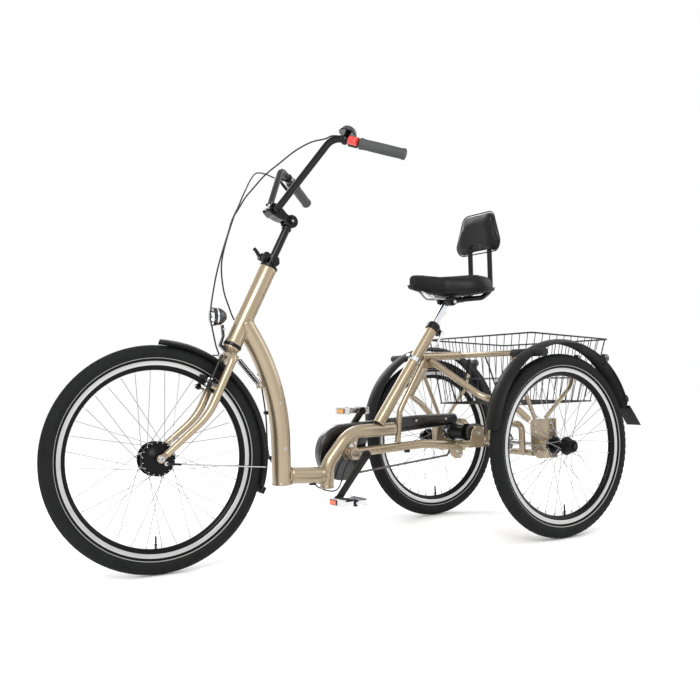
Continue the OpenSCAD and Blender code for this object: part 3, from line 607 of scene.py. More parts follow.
def rear_wheels():
    for side, name in ((1, "left"), (-1, "right")):
        body = "rear_wheel_" + name
        place = ROW @ move(side * WHEEL_X, 0, REAR_R)
        if side < 0:
            place = place @ MIRROR
        tyre("rear_tyre_tread_" + name, body, place, REAR_R, "rear_tyre_" + name)
        rim("rear_rim_section_" + name, body, place, REAR_R, "rear_rim_" + name, -88)
        part = Part("rear_hub_and_spokes_" + name, place)
        part.lathe(REAR_HUB, DARK_ALLOY, ACROSS, 48)
        part.nut(move(58.6, 0, 0) @ ACROSS, BLACK, 9.5, 6)
        for x in (39, 44, 49):
            part.lathe([(20.4, x - 1), (20.9, x - 0.6), (20.9, x + 0.6), (20.4, x + 1)], DARK_ALLOY, ACROSS,
                       48)
        shaft_start = 22 - WHEEL_X
        part.rod((shaft_start, 0, 0), (-41, 0, 0), 8.5, STEEL, 24)
        spokes(part, REAR_R, 26, 26)
        if side > 0:
            sprocket(part, 78 - WHEEL_X, 16, 9)
        part.done(body, "rear_hub_" + name, slot="hub_metal", angle=30)


def sprocket(part, x, teeth, bore, mat=STEEL, centre=(0, 0)):
    """A toothed ring about the local X axis."""
    pitch = teeth * 12.7 / (2 * math.pi)
    outline = []
    for k in range(teeth * 4):
        a = 2 * math.pi * k / (teeth * 4)
        reach = pitch + (3.2, 0.5, -4.2, 0.5)[k % 4]
        outline.append((reach * math.cos(a), reach * math.sin(a)))
    inner = [(bore * math.cos(2 * math.pi * k / len(outline)),
              bore * math.sin(2 * math.pi * k / len(outline)))
             for k in range(len(outline))]
    y0, z0 = centre
    rings = [[Vector((x + d, y0 + y, z0 + z)) for y, z in shape]
             for shape, d in ((outline, -1.1), (outline, 1.1), (inner, 1.1), (inner, -1.1))]
    part.skin([list(ring) for ring in zip(*rings)], mat, around=True, along=True, caps=False)


front_wheel()
rear_wheels()

# ---------- frame ----------
SEAT_TUBE_R = 19.5
SEAT_LEN = 410


def head_tube():
    part = Part("head_tube_painted", STEER)
    part.lathe([(22, 403), (27, 403), (27.6, 404), (27.6, 412), (27, 414), (27, 657), (27.6, 659),
                (27.6, 667),
                (27, 668), (22, 668)], PAINT, steps=56)
    part.done("frame", "head_tube", slot="frame_paint")
    part = Part("headset_cups", STEER)
    for low, high in ((393, 402.9), (668.1, 677)):
        middle = (low + high) / 2
        part.lathe([(14.4, low), (27, low), (28.8, low + 1.5), (28.8, middle - 0.5), (28, middle),
                    (28.8, middle + 0.5),
                    (28.8, high - 1.5), (27.5, high), (14.4, high)], BLACK, steps=56)
    part.done("frame", "headset", slot="black_metal")


def down_tube():
    """The curved main tube, the low step tube and their welds."""
    part = Part("down_tube_welded")
    path = bent([(0, -970, 717), (0, -852, 522), (0, -852, 222)], [620], 2)
    part.sweep(path[:1] + [path[0].lerp(path[1], 0.5)] + path[1:], 30, PAINT, 40)
    part.lathe([(0.01, 216), (27, 216), (30.6, 218), (30.6, 223), (30, 224)], PAINT, move(0, -852, 0), 40)
    part.rod((0, -833, 244), (0, -705, 235), 26, PAINT, 36)
    part.weld((0, -823, 243), (0, 1, -0.08), 27, PAINT, 2.6)
    part.weld((0, -716, 236), (0, 1, -0.08), 26.4, PAINT, 2.4)
    part.sweep(head_weld(), 3.2, PAINT, 8, closed=True)
    part.block((-3, -930, 517), (3, -876, 537), PAINT)
    part.done("frame", "down_tube", slot="frame_paint")
    part = Part("down_tube_fittings")
    part.lathe([(0.01, 207), (10, 207), (12, 209), (12, 216)], RUBBER, move(0, -742, 0), 24)
    for y, z in ((-850, 470), (-838, 330)):
        part.bolt(move(28, y - 14, z) @ ACROSS, STEEL, 4, 3)
    part.bolt(move(3, -921, 527) @ ACROSS, STEEL, 6, 5)
    part.bolt(move(-3, -921, 527) @ turn(-90, "Y"), STEEL, 6, 5)
    part.done("frame", slot="black_metal")


def head_weld():
    """Where the down tube's skin meets the head tube, walked round the two cylinders' crossing."""
    inverse = STEER.inverted() @ ROW
    start, way = Vector((0, -970, 717)), Vector((0, 118, -195)).normalized()
    side, other = X, way.cross(X).normalized()
    points = []
    for k in range(60):
        a = 2 * math.pi * k / 60
        offset = 30 * (side * math.cos(a) + other * math.sin(a))
        low, high = 0.0, 260.0
        for _ in range(24):
            middle = (low + high) / 2
            local = inverse @ (start + offset + way * middle)
            inside = math.hypot(local.x, local.y) < 27.3
            low, high = (middle, high) if inside else (low, middle)
        points.append(start + offset + way * high)
    return points


def riser():
    part = Part("rear_riser_welded")
    path = bent([(0, -690, 193), (0, -686, 268), (0, -598, 366), (0, -426, 366)], [70, 110], 3)
    part.sweep(path, 22, PAINT, 36)
    part.lathe([(0.01, 192), (20, 192), (22.6, 194), (22.6, 200), (22, 201)], PAINT, move(0, -690, 0), 36)
    cap = move(0, -426, 366) @ turn(-90, "X")
    part.lathe([(22, -7), (22.6, -6), (22.6, -1.5), (21, 0), (0.01, 0)], PAINT, cap, 36)
    part.weld((0, -482, 385), (0, 0.6, 0.8), 20.4, PAINT, 2.4)
    part.done("frame", "rear_riser", slot="frame_paint")


def seat_tube():
    part = Part("seat_tube_painted", SEAT)
    part.lathe([(15.1, -SEAT_LEN), (SEAT_TUBE_R, -SEAT_LEN), (SEAT_TUBE_R, -0.6), (SEAT_TUBE_R - 0.6, 0),
                (15.1, 0)],
               PAINT, steps=48)
    part.done("frame", "seat_tube", slot="frame_paint")
    part = Part("seat_collar_clamp", SEAT)
    part.lathe([(19.6, -26), (23, -26), (24, -25), (24, -5), (23, -4), (21, -3), (19.6, 1.2), (15.3, 1.6)],
               BLACK,
               steps=48)
    for x in (-13, 4):
        part.prism([(18, -24), (36, -24), (40, -20), (40, -10), (36, -6), (18, -6)], x, x + 9, BLACK)
    part.rod((-21, 32, -15), (23, 32, -15), 3, STEEL, 16)
    part.nut(move(-21, 32, -15) @ ACROSS, STEEL, 6.5, 6)
    part.done("frame", "seat_collar", slot="black_metal", bevel=0.8)
    part = Part("seat_tube_band", SEAT)
    part.lathe([(19.5, -160), (21.4, -160), (21.4, -146), (19.5, -146)], CHROME, steps=40)
    part.block((-8, -33, -158), (8, -20, -148), CHROME)
    part.done("frame", slot="chrome", bevel=1.0)
    part = Part("seat_quick_release", SEAT @ move(16, 32, -15))
    part.lathe([(3.1, 0), (7, 0), (7.6, 1), (7.6, 5), (7, 6), (3.1, 6)], CHROME, ACROSS, 28)
    part.sweep(curve([(3, 0, -3), (3.5, 1, -20), (5, 2, -40), (4, 0, -60)]), lambda t: 4.4 - 1.2 * t, CHROME,
               14)
    part.done("seat_lever", "seat_lever", slot="chrome")


def braces():
    part = Part("seat_braces_welded")
    part.rod((0, -300, 606), (0, -134, 607), 14, PAINT, 32)
    part.sweep(bent([(0, -290, 594), (0, -398, 425), (0, -410, 320)], [60], 4), 10, PAINT, 28)
    part.weld((0, -299, 606), (0, 1, 0.2), 14.6, PAINT, 2)
    part.weld((0, -136, 607), (0, 1, 0), 14.2, PAINT, 2)
    part.block((-3, -300, 566), (3, -232, 596), PAINT)
    part.done("frame", "seat_braces", slot="frame_paint", bevel=0.6)
    part = Part("chain_stay_welded")
    stay = bent([(0, -568, 299), (0, -300, 309), (0, -170, 296), (0, -14, REAR_R)], [400, 300], 3)
    part.sweep(stay, 15, PAINT, 32)
    part.lathe([(8.6, -30), (16, -30), (17, -29), (17, 29), (16, 30), (8.6, 30)], PAINT,
               move(0, 0, REAR_R) @ ACROSS, 40)
    part.rod((-52, -160, 300), (18, -160, 300), 12, PAINT, 28)
    part.prism([(-196, 300), (-142, 300), (-142, 262), (-152, 250), (-172, 250), (-190, 262)], 6, 14, PAINT)
    part.weld((0, -410, 322), (0, 0.1, 1), 10.6, PAINT, 2)
    part.done("frame", "chain_stay", slot="frame_paint", bevel=0.6)
    part = Part("chain_stay_fittings")
    part.lathe([(0.01, -3), (9, -3), (10, -1), (10, 5), (0.01, 5)], RUBBER, move(0, -372, 287), 20)
    part.bolt(move(14, -168, 276) @ ACROSS, STEEL, 6, 5)
    part.bolt(move(14, -157, 262) @ ACROSS, STEEL, 4, 4)
    part.done("frame", slot="steel")


def bottom_bracket():
    part = Part("bottom_bracket_shell")
    at = move(0, -598, 297) @ ACROSS
    part.lathe([(10.1, -34), (19, -34), (20, -33), (20, 33), (19, 34), (10.1, 34)], PAINT, at, 40)
    part.prism([(-645, 318), (-600, 346), (-575, 345), (-585, 300), (-610, 284)], -13, 13, PAINT)
    for x in (-22, 13):
        part.lathe([(20, x), (21, x + 0.6), (21, x + 8.4), (20, x + 9)], PAINT, at, 40)
    part.done("frame", "bb_shell", slot="frame_paint", bevel=0.8)
    part = Part("bottom_bracket_bolt")
    part.nut(move(13, -606, 322) @ ACROSS, STEEL, 8, 6)
    part.bolt(move(13, -588, 330) @ ACROSS, STEEL, 5, 4)
    part.done("frame", slot="steel", bevel=0.5)


PLATE_X = 266
STAY = [(8, -264, 590), (196, -208, 468), (252, -120, 436), (262, -62, 386)]
BASKET_STAY = [(258, 18, 388), (275, 122, 490), (283, 150, 596)]


def rear_frame():
    part = Part("rack_bar_painted")
    part.rod((-262, -125, 607), (262, -125, 607), 9.5, PAINT, 28)
    part.done("frame", "rack_bar", slot="frame_paint")
    part = Part("rear_stays_welded")
    for side in (list, flip):
        part.sweep(side(bent(STAY, [60, 30], 4)), 11, PAINT, 26)
        part.rod(*side([(258, -30, 388), (256, -121, 595)]), 7, PAINT, 20)
        part.sweep(side(bent(BASKET_STAY, [50], 5)), 7, PAINT, 20)
    part.done("frame", "rear_stays", slot="frame_paint")
    part = Part("rear_stay_sleeves")
    for side in (list, flip):
        path = bent(BASKET_STAY, [50], 5)
        part.sweep(side([path[-1].lerp(path[-2], t) for t in (0.0, 0.3, 0.6)]), 9, RUBBER, 20)
        part.bolt(move(*side([Vector((283, 152, 590))])[0]) @ ACROSS, STEEL, 5, 12)
    part.done("frame", slot="rubber")
    part = Part("axle_cradle_welded")
    loop = [(62, -62, 303), (62, -62, 370), (228, -62, 370), (228, -62, 275)]
    for side in (list, flip):
        part.sweep(side(bent(loop, [16, 24], 5)), 11, PAINT, 26)
        part.rod(*side([(262, -45, 275), (100, -45, 275)]), 11, PAINT, 26)
    hanger = [(-186, 292), (-118, 292), (-118, 350), (-130, 362), (-156, 362), (-170, 350)]
    for x in (-90, 98):
        part.prism(hanger, x, x + 4, PAINT)
    part.rod((-90, -170, 300), (-32, -170, 300), 8, PAINT, 22)
    part.rod((32, -170, 300), (98, -170, 300), 8, PAINT, 22)
    part.rod((-96, -143, 341), (110, -143, 341), 5, STEEL, 18)
    for x in (-97, 102):
        part.nut(move(x, -143, 341) @ ACROSS, STEEL, 9, 7)
    part.done("frame", "axle_cradle", slot="frame_paint", bevel=0.5)
    plate = [(43, 386), (-50, 386), (-58, 376)] + circle_outline(-14, 298, 44, 180, 270, 10) + [(43, 254)]
    part = Part("axle_plates_bolted")
    for side in (Matrix(), MIRROR):
        part.prism(plate, PLATE_X - 2, PLATE_X + 2, PAINT, side)
        part.block((PLATE_X, 39, 254), (PLATE_X + 18, 43, 386), PAINT, side)
        part.lathe([(8.6, PLATE_X - 14), (22, PLATE_X - 14), (23, PLATE_X - 13), (23, 294), (21.5, 296),
                    (8.6, 296)],
                   PAINT, side @ move(0, 0, REAR_R) @ ACROSS, 40)
        for y, z in ((-42, 345), (28, 345), (28, 370), (-42, 370), (-30, 280), (26, 270)):
            part.bolt(side @ move(PLATE_X + 2, y, z) @ ACROSS, STEEL, 4.6, 4)
    part.done("frame", "axle_plates", slot="frame_paint", bevel=0.6)


# ---------- mudguards ----------
def guard_sheet(part, radius, half_w, a0, a1, mat, at, thick=2.0, drop=13.0, steps=90):
    """A crowned mudguard sheet with rolled edges, round the local X axis from +Y towards +Z."""
    bow = (half_w ** 2 + drop ** 2) / (2 * drop)
    edge = math.asin(half_w / bow)
    section = []
    for k in range(17):
        b = -edge + 2 * edge * k / 16
        section.append((bow * math.sin(b), radius - bow + bow * math.cos(b)))
    for k in range(17):
        b = edge - 2 * edge * k / 16
        section.append(((bow - thick) * math.sin(b), radius - bow + (bow - thick) * math.cos(b)))
    rings = []
    for i in range(steps + 1):
        share = i / steps
        taper = 1.0
        for end in (share, 1 - share):
            if end < 0.025:
                taper = 0.72 + 0.28 * math.sin(math.pi / 2 * end / 0.025)
        a = math.radians(a0 + (a1 - a0) * share)
        rings.append([at @ Vector((x * taper, q * math.cos(a), q * math.sin(a))) for x, q in section])
    part.skin(rings, mat)
    for s in (1, -1):
        x, q = s * (half_w - 0.6), radius - drop + 0.8
        lip = [(x, q * math.cos(math.radians(a0 + (a1 - a0) * (0.03 + 0.94 * i / steps))),
                q * math.sin(math.radians(a0 + (a1 - a0) * (0.03 + 0.94 * i / steps))))
                for i in range(steps + 1)]
        part.sweep(lip, 1.6, mat, 8, at)


def rear_guards():
    part = Part("rear_mudguards")
    for s in (1, -1):
        guard_sheet(part, 309, 35, 14, 175, SATIN, move(s * WHEEL_X, 5, 340))
    part.done("frame", "rear_fenders", slot="black_plastic")
    part = Part("mudguard_sleeves_and_flaps")
    for side in (Matrix(), MIRROR):
        part.lathe([(9.6, 264), (12.4, 264), (13, 265), (13, 300), (12.2, 301), (12.2, 303), (13, 304),
                    (13, 412),
                    (12, 414), (0.01, 414)], RUBBER, side @ move(0, -125, 606) @ ACROSS, 30)
        flap = [(302.5, 419), (305.5, 419), (330, 388), (358, 350), (355, 349), (326, 386)]
        for k in range(3):
            x = WHEEL_X - 30 + 20 * k
            part.prism(flap, x + 0.4, x + 19.6, RUBBER, side)
        part.block((WHEEL_X - 29, 304, 408), (WHEEL_X + 29, 311, 414), RUBBER, side @ move(0, -1, 0))
    part.done("frame", "fender_rubbers", slot="rubber", bevel=0.5)
    part = Part("rear_lamps")
    for side in (Matrix(), MIRROR):
        lamp = side @ move(WHEEL_X - 4, 215, 583) @ turn(-90, "X")
        part.lathe([(0.01, 0), (13, 0), (15, 2), (15, 16), (13.6, 16)], GLOSS, lamp, 32)
        part.lathe([(13.6, 15), (13.6, 18), (11, 21.5), (6, 23.5), (0.01, 24)], LAMP_RED, lamp, 32)
        part.block((WHEEL_X - 10, 213, 562), (WHEEL_X + 2, 222, 572), SATIN, side)
        eye = side @ move(WHEEL_X, 300, 438) @ turn(-71.5, "X")
        part.lathe([(0.01, 0), (16, 0), (17, 1), (17, 15.5), (15.4, 16)], SATIN, eye, 32)
        part.lathe([(15.4, 15.6), (15, 17.4), (0.01, 18)], LAMP_RED, eye, 32)
    part.done("frame", "rear_lights", slot="lamp_red")


def front_guard():
    place = STEER @ move(0, -65, 0)
    part = Part("front_mudguard", place)
    guard_sheet(part, 344, 28, 8, 114, SATIN, Matrix(), steps=70)
    part.block((-14, 309, 40), (14, 344, 60), SATIN)
    for s in (1, -1):
        part.sweep(bent([(s * 57, 18, -6), (s * 50, 90, 22), (s * 29, 309, 113)], [20]), 2.0, STEEL, 10)
        part.rod((s * 57, 18, -6), (s * 53, 59, 10), 3.6, RUBBER, 14)
        part.lathe([(0.01, -2), (6, -2), (6, 2), (0.01, 2)], STEEL, move(s * 57, 18, -6) @ ACROSS, 16)
    part.done("steering", "front_fender", slot="black_plastic")


# ---------- basket ----------
RIM_CORNERS = [(-285, -57, 677), (285, -57, 677), (272, 322, 653), (-272, 322, 653)]
FLOOR_CORNERS = [(-226, -54, 432), (226, -54, 432), (226, 284, 432), (-226, 284, 432)]


def ring_path(corners, bend=18):
    """A closed wire through corners with small bends."""
    points = []
    n = len(corners)
    for i, corner in enumerate(corners):
        a, b, c = Vector(corners[i - 1]), Vector(corner), Vector(corners[(i + 1) % n])
        into, out = (a - b).normalized(), (c - b).normalized()
        for k in range(7):
            t = k / 6
            points.append((b + into * bend).lerp(b, t).lerp(b.lerp(b + out * bend, t), t))
    return points


def basket():
    part = Part("basket_wires")
    top, low = [Vector(c) for c in RIM_CORNERS], [Vector(c) for c in FLOOR_CORNERS]
    lift = Vector((0, 0, 3))
    part.sweep(ring_path([c - lift for c in top]), 2.8, WIRE, 12, closed=True)
    part.sweep(ring_path([c + lift * 0.8 for c in low]), 2.0, WIRE, 10, closed=True)
    part.sweep(ring_path([a.lerp(b, 0.38) for a, b in zip(low, top)]), 1.5, WIRE, 8, closed=True)
    for i in range(4):
        a, b, c, d = low[i], low[(i + 1) % 4], top[i], top[(i + 1) % 4]
        count = round((b - a).length / 31)
        for k in range(count):
            t = (k + 0.5) / count
            foot, head = a.lerp(b, t), c.lerp(d, t)
            part.sweep([foot + lift * 0.8, head - lift], 1.35, WIRE, 7)
    for k in range(1, 15):
        x = -226 + 452 * k / 15
        part.rod((x, -54, 434), (x, 284, 434), 1.3, WIRE, 7)
    for k in range(1, 8):
        y = -54 + 338 * k / 8
        part.rod((-226, y, 436.4), (226, y, 436.4), 1.3, WIRE, 7)
    for x in (-120, 120):
        part.sweep(bent([(x, -54, 440), (x, -100, 560), (x * 1.02, -120, 598)], [60]), 2.6, WIRE, 10)
    part.done("frame", "basket", slot="basket_wire")


# ---------- drive ----------
CASE_R = 92
BB = (-598, 297)
GEAR_AT = (-143, 341)


def belt(circles):
    """The outline of a belt round circles (y, z, r), listed anticlockwise."""
    outline = []
    n = len(circles)
    for i in range(n):
        p, q, s = circles[i - 1], circles[i], circles[(i + 1) % n]
        a0 = math.atan2(q[1] - p[1],
                        q[0] - p[0]) - math.acos((p[2] - q[2]) / math.hypot(q[0] - p[0], q[1] - p[1]))
        a1 = math.atan2(s[1] - q[1],
                        s[0] - q[0]) - math.acos((q[2] - s[2]) / math.hypot(s[0] - q[0], s[1] - q[1]))
        sweep = (a1 - a0) % (2 * math.pi)
        steps = max(3, round(math.degrees(sweep) / 6))
        outline += [(q[0] + q[2] * math.cos(a0 + sweep * k / steps),
                     q[1] + q[2] * math.sin(a0 + sweep * k / steps))
                    for k in range(steps + 1)]
    return outline


def chain_links(part, x, circles, half_w=3.0):
    """Roller-chain plates and rollers laid along a belt."""
    outline = belt(circles)
    lengths = [0.0]
    loop = outline + outline[:1]
    for a, b in zip(loop, loop[1:]):
        lengths.append(lengths[-1] + math.hypot(b[0] - a[0], b[1] - a[1]))
    count = round(lengths[-1] / 12.7)

    def at(distance):
        distance %= lengths[-1]
        for i in range(len(loop) - 1):
            if distance <= lengths[i + 1]:
                t = (distance - lengths[i]) / max(1e-9, lengths[i + 1] - lengths[i])
                return Vector((loop[i][0] + t * (loop[i + 1][0] - loop[i][0]),
                               loop[i][1] + t * (loop[i + 1][1]
                                                                                               - loop[i][1])))
        return Vector(loop[0])

    pitch = lengths[-1] / count
    for k in range(count):
        a, b = at(k * pitch), at((k + 1) * pitch)
        lean = math.degrees(math.atan2(b.y - a.y, b.x - a.x))
        place = move(x, a.x, a.y) @ turn(lean, "X")
        plate = circle_outline(0, 0, 3.9, 90, 270, 5) + [(6.35, -2.7)] + circle_outline(12.7, 0, 3.9, -90, 90,
                                                                                        5) + [
            (6.35, 2.7)]
        outer = half_w - 0.1 if k % 2 else half_w - 1.1
        for s in (-1, 1):
            part.prism(plate, s * outer - 0.45, s * outer + 0.45, CHAIN, place)
        part.rod((-half_w, 0, 0), (half_w, 0, 0), 2.2, CHAIN, 8, place)


def case_outline(inset):
    r = CASE_R - inset
    lower = circle_outline(BB[0], BB[1], r, 90, 372, 56)
    tip = circle_outline(-134, 384, 20 - inset, 80, -100, 16)
    return [(-300, 404 - inset), (-420, 398 - inset)] + lower + [(-500, 341 + inset)] + tip[::-1]


def rounded_case(part, outline_at, x0, x1, mat, r=7.0):
    """A moulded shell between x0 and x1 with rounded rims."""
    rings = []
    for k in range(7):
        a = math.pi / 2 * k / 6
        rings.append((x0 + r - r * math.cos(a), r - r * math.sin(a)))
    middle = [(x1 - (x - x0), inset) for x, inset in reversed(rings)]
    part.skin([[Vector((x, y, z)) for y, z in outline_at(inset)] for x, inset in rings + middle], mat)


def drive():
    part = Part("chain_case_shell")
    rounded_case(part, case_outline, -76, -40, GLOSS)
    part.lathe([(0.01, -38.8), (26, -38.8), (30, -39.4), (33, -40.4)], GLOSS, move(0, BB[0], BB[1]) @ ACROSS,
               48)
    for y, z in ((-500, 380), (-300, 386), (-170, 386)):
        part.bolt(move(-40, y, z) @ ACROSS, STEEL, 4.2, 2.4)
    part.done("frame", "chain_case", slot="gloss_black")
    part = Part("roller_chains")
    pitch = 12.7 / (2 * math.pi)
    chain_links(part, -58,
                [(BB[0], BB[1], 38 * pitch), (-160, 270, 14), (GEAR_AT[0], GEAR_AT[1], 14 * pitch)])
    chain_links(part, 78, [(GEAR_AT[0], GEAR_AT[1], 14 * pitch), (0, REAR_R, 16 * pitch)])
    part.done("frame", "chains", slot="steel")
    part = Part("input_sprocket_teeth", ROW @ move(0, *GEAR_AT))
    sprocket(part, -58, 14, 5.1)
    part.lathe([(5.1, -64), (13, -64), (13, -46), (5.1, -46)], STEEL, ACROSS, 28)
    part.done("input_gear", "input_sprocket", slot="steel")
    part = Part("gear_hub_shell", ROW @ move(0, *GEAR_AT))
    part.lathe([(5.1, -39), (17, -39), (18, -38), (22, -33), (29.5, -33), (30, -32.5), (30, -28.5), (26, -25),
                (25, -10),
                (24.6, 18), (26, 36), (30, 40), (30, 44.5), (29.5, 45), (20, 47), (20, 80), (19, 81),
                (5.1, 81)],
               DARK_ALLOY, ACROSS, 48)
    sprocket(part, 78, 14, 19.5)
    part.done("gear_hub", "gear_hub", slot="hub_metal")


CRANK = 50
CRANK_LEN = 170
PEDAL = (-CRANK_LEN * math.cos(math.radians(CRANK)), -CRANK_LEN * math.sin(math.radians(CRANK)))
ARM_X = 92


def crank_arm(part, side):
    """A forged arm that narrows towards the pedal, with its boss and bolt cover."""
    spin = side @ turn(CRANK, "X")
    rings = []
    for k in range(13):
        t = k / 12
        half_z = 13 - 2.5 * math.sin(math.pi * min(1, t * 1.15) / 2)
        half_x = 7.0 - 1.0 * t
        y = -CRANK_LEN * t
        outline = [(half_x, half_z * 0.55), (half_x * 0.55, half_z), (-half_x * 0.55, half_z),
                   (-half_x, half_z * 0.55),
                   (-half_x, -half_z * 0.55), (-half_x * 0.55, -half_z), (half_x * 0.55, -half_z),
                   (half_x, -half_z * 0.55)]
        rings.append([spin @ Vector((ARM_X + 0.5 + x, y, z)) for x, z in outline])
    part.skin(rings, BLACK)
    part.lathe([(0.01, 86), (13, 86), (15, 87.5), (15, 97), (13, 100), (0.01, 100)], BLACK, side @ ACROSS, 32)
    part.lathe([(9, 100), (9, 101.4), (7, 102.2), (0.01, 102.4)], SATIN, side @ ACROSS, 28)
    end = side @ move(0, *PEDAL) @ ACROSS
    part.lathe([(0.01, 86), (12, 86), (13, 87.5), (13, 97.5), (12, 99), (0.01, 99)], BLACK, end, 28)
    part.lathe([(6.2, 99), (6.2, 101.5), (4.9, 101.5), (4.9, 204), (0.01, 204)], STEEL, end, 20)


def cranks():
    part = Part("crankset_forged", ROW @ move(0, *BB))
    part.rod((-ARM_X, 0, 0), (ARM_X, 0, 0), 9.9, STEEL, 28)
    crank_arm(part, Matrix())
    crank_arm(part, turn(180, "X") @ MIRROR)
    sprocket(part, -58, 38, 62, DARK_ALLOY)
    for k in range(5):
        arm = turn(72 * k, "X")
        part.prism([(14, -9), (66, -6), (66, 6), (14, 9)], -60, -56, BLACK, arm)
        part.bolt(arm @ move(-56, 62, 0) @ ACROSS, STEEL, 4, 3)
    part.lathe([(10, -92), (17, -92), (19, -90), (19, -60), (10, -60)], BLACK, ACROSS, 32)
    part.done("crank", "crankset", slot="black_metal")
    for name, sign, mirrored, low, high, glow in (("left", 1, Matrix(), 22, 56, ORANGE),
                                                  ("right", -1, MIRROR, 50, 90, AMBER)):
        centre = move(sign * ARM_X, BB[0] + sign * PEDAL[0], BB[1] + sign * PEDAL[1])
        pedal(name, ROW @ centre @ mirrored, low, high, glow)


def pedal(name, place, low, high, glow):
    """An alloy cage pedal with toothed plates, a barrel and a reflector from low to high on both plates."""
    part = Part("pedal_cage_" + name, place)
    part.lathe([(5.1, 12), (10, 12), (11, 13.5), (11, 22), (9.5, 26), (9.5, 88), (11, 92), (11, 102),
                (10, 104),
                (0.01, 104)], DARK_ALLOY, ACROSS, 28)
    tooth_steps = [18 + 8.2 * k for k in range(11)]
    plate = [(16, -10)]
    for x in tooth_steps:
        plate += [(x, -10), (x + 2.4, -12), (x + 4.8, -10)]
    plate += [(104, -10), (104, 10)]
    for x in reversed(tooth_steps):
        plate += [(x + 4.8, 10), (x + 2.4, 12), (x, 10)]
    plate.append((16, 10))
    for flank in (Matrix(), Matrix.Scale(-1, 4, Y)):
        part.skin([[flank @ Vector((x, y, z)) for x, z in plate] for y in (36.4, 40)], ALLOY)
        part.block((low - 1.5, 40, -8), (high + 1.5, 42.1, 8), SATIN, flank)
        part.block((low, 40.3, -6.5), (high, 43.5, 6.5), glow, flank)
        for x in (16, 60, 100.4):
            part.block((x, 8, -6), (x + 3.6, 37, 6), ALLOY, flank)
    part.done("pedal_" + name, "pedal_" + name, slot="pedal_alloy", bevel=0.5)


head_tube()
down_tube()
riser()
seat_tube()
braces()
bottom_bracket()
rear_frame()
rear_guards()
front_guard()
basket()
drive()
cranks()


# ---------- fork, brake and headlight ----------
BLADE = [(8, 2, 377), (49, 4, 357), (50, 8, 170), (57, -58, 16)]
BOSS_X, BOSS_Z = 48, 250


def fork():
    part = Part("fork_welded", STEER)
    part.rod((0, 0, 362), (0, 0, 678), 14.3, PAINT, 32)
    part.lathe([(14.2, 372), (17, 378), (25, 386), (26, 388), (26, 392.6), (14.4, 392.6)], PAINT, steps=40)
    part.block((-3, 12, 366), (3, 34, 379), PAINT)
    for side, s in ((list, 1), (flip, -1)):
        blade = bent(BLADE, [34, 200], 4)
        fine = [blade[0], blade[0].lerp(blade[1], 0.5)] + blade[1:-1] + [blade[-2].lerp(blade[-1], 0.5),
                                                                         blade[-1]]
        part.sweep(side(fine), lambda t: 14.4 - 4.4 * t * t, PAINT, 26)
        part.lathe([(0.01, 0), (11, 0), (12, 1), (12, 7), (11, 8), (0.01, 8)], PAINT,
                   move(48 if s > 0 else -56, -65, 0)
                   @ ACROSS, 28)
        part.block((48 if s > 0 else -55, -8, -9), (55 if s > 0 else -48, 9, 22), PAINT,
                   move(0, -65, 0) @ turn(-24, "X"))
        part.lathe([(0.01, 0), (6.5, 0), (6.5, 6), (4, 8), (4, 38), (0.01, 38)], PAINT,
                   move(s * BOSS_X, -1, BOSS_Z) @ turn(90, "X"), 20)
        part.lathe([(0.01, 0), (9, 0), (9, 2), (5, 2.5), (5, 10), (0.01, 10)], STEEL,
                   move(s * 56, -65, 0) @ turn(s * 90, "Y"), 24)
        part.nut(move(s * 58, -65, 0) @ turn(s * 90, "Y"), STEEL, 8.5, 7)
    part.rod((-66, -65, 0), (66, -65, 0), 5, STEEL, 18)
    part.done("steering", "fork", slot="frame_paint", bevel=0.6)


def brake_arms():
    for side, name in ((Matrix(), "left"), (MIRROR, "right")):
        part = Part("brake_arm_forged_" + name, STEER @ side)
        rings = []
        for k in range(12):
            t = k / 11
            z = BOSS_Z - 2 + 102 * t
            x = BOSS_X - 1 - 6 * t
            half_x, half_y = 6.6 - 2.4 * t, 5.6 - 1.2 * t
            rings.append([Vector((x + half_x * math.cos(a), -29 + half_y * math.sin(a), z))
                          for a in (2 * math.pi * i / 16 for i in range(16))])
        part.skin(rings, BLACK)
        part.lathe([(4.1, -7), (7.5, -7), (8.5, -6), (8.5, 6), (7.5, 7), (4.1, 7)], BLACK,
                   move(BOSS_X, -29, BOSS_Z) @ turn(90, "X"), 28)
        part.bolt(move(BOSS_X, -36, BOSS_Z) @ turn(90, "X"), STEEL, 6, 4)
        part.rod((24, -29, 270), (52, -29, 270), 3, STEEL, 14)
        part.lathe([(0.01, 0), (7, 0), (7, 4), (4, 6), (0.01, 6)], STEEL, move(28, -29, 270) @ turn(90, "Y"),
                   20)
        pad = [(-54, 264), (-30, 266), (-4, 270), (-2, 273), (-4, 277), (-28, 276.5), (-54, 275), (-57, 270)]
        part.prism(pad, 13.8, 24, RUBBER)
        part.bolt(move(BOSS_X - 6, -34, 344) @ turn(90, "X"), STEEL, 4.5, 4)
        part.done("brake_arm_" + name, "brake_arm_" + name, slot="black_metal", bevel=0.8)
    part = Part("brake_noodle", STEER)
    part.sweep(bent([(-26, -34, 352), (-40, -34, 352), (-42, -31, 349)], [8]), 2.6, STEEL, 12)
    part.done("steering", slot="steel")


LAMP = STEER @ move(0, -82, 455) @ turn(118.2, "X")


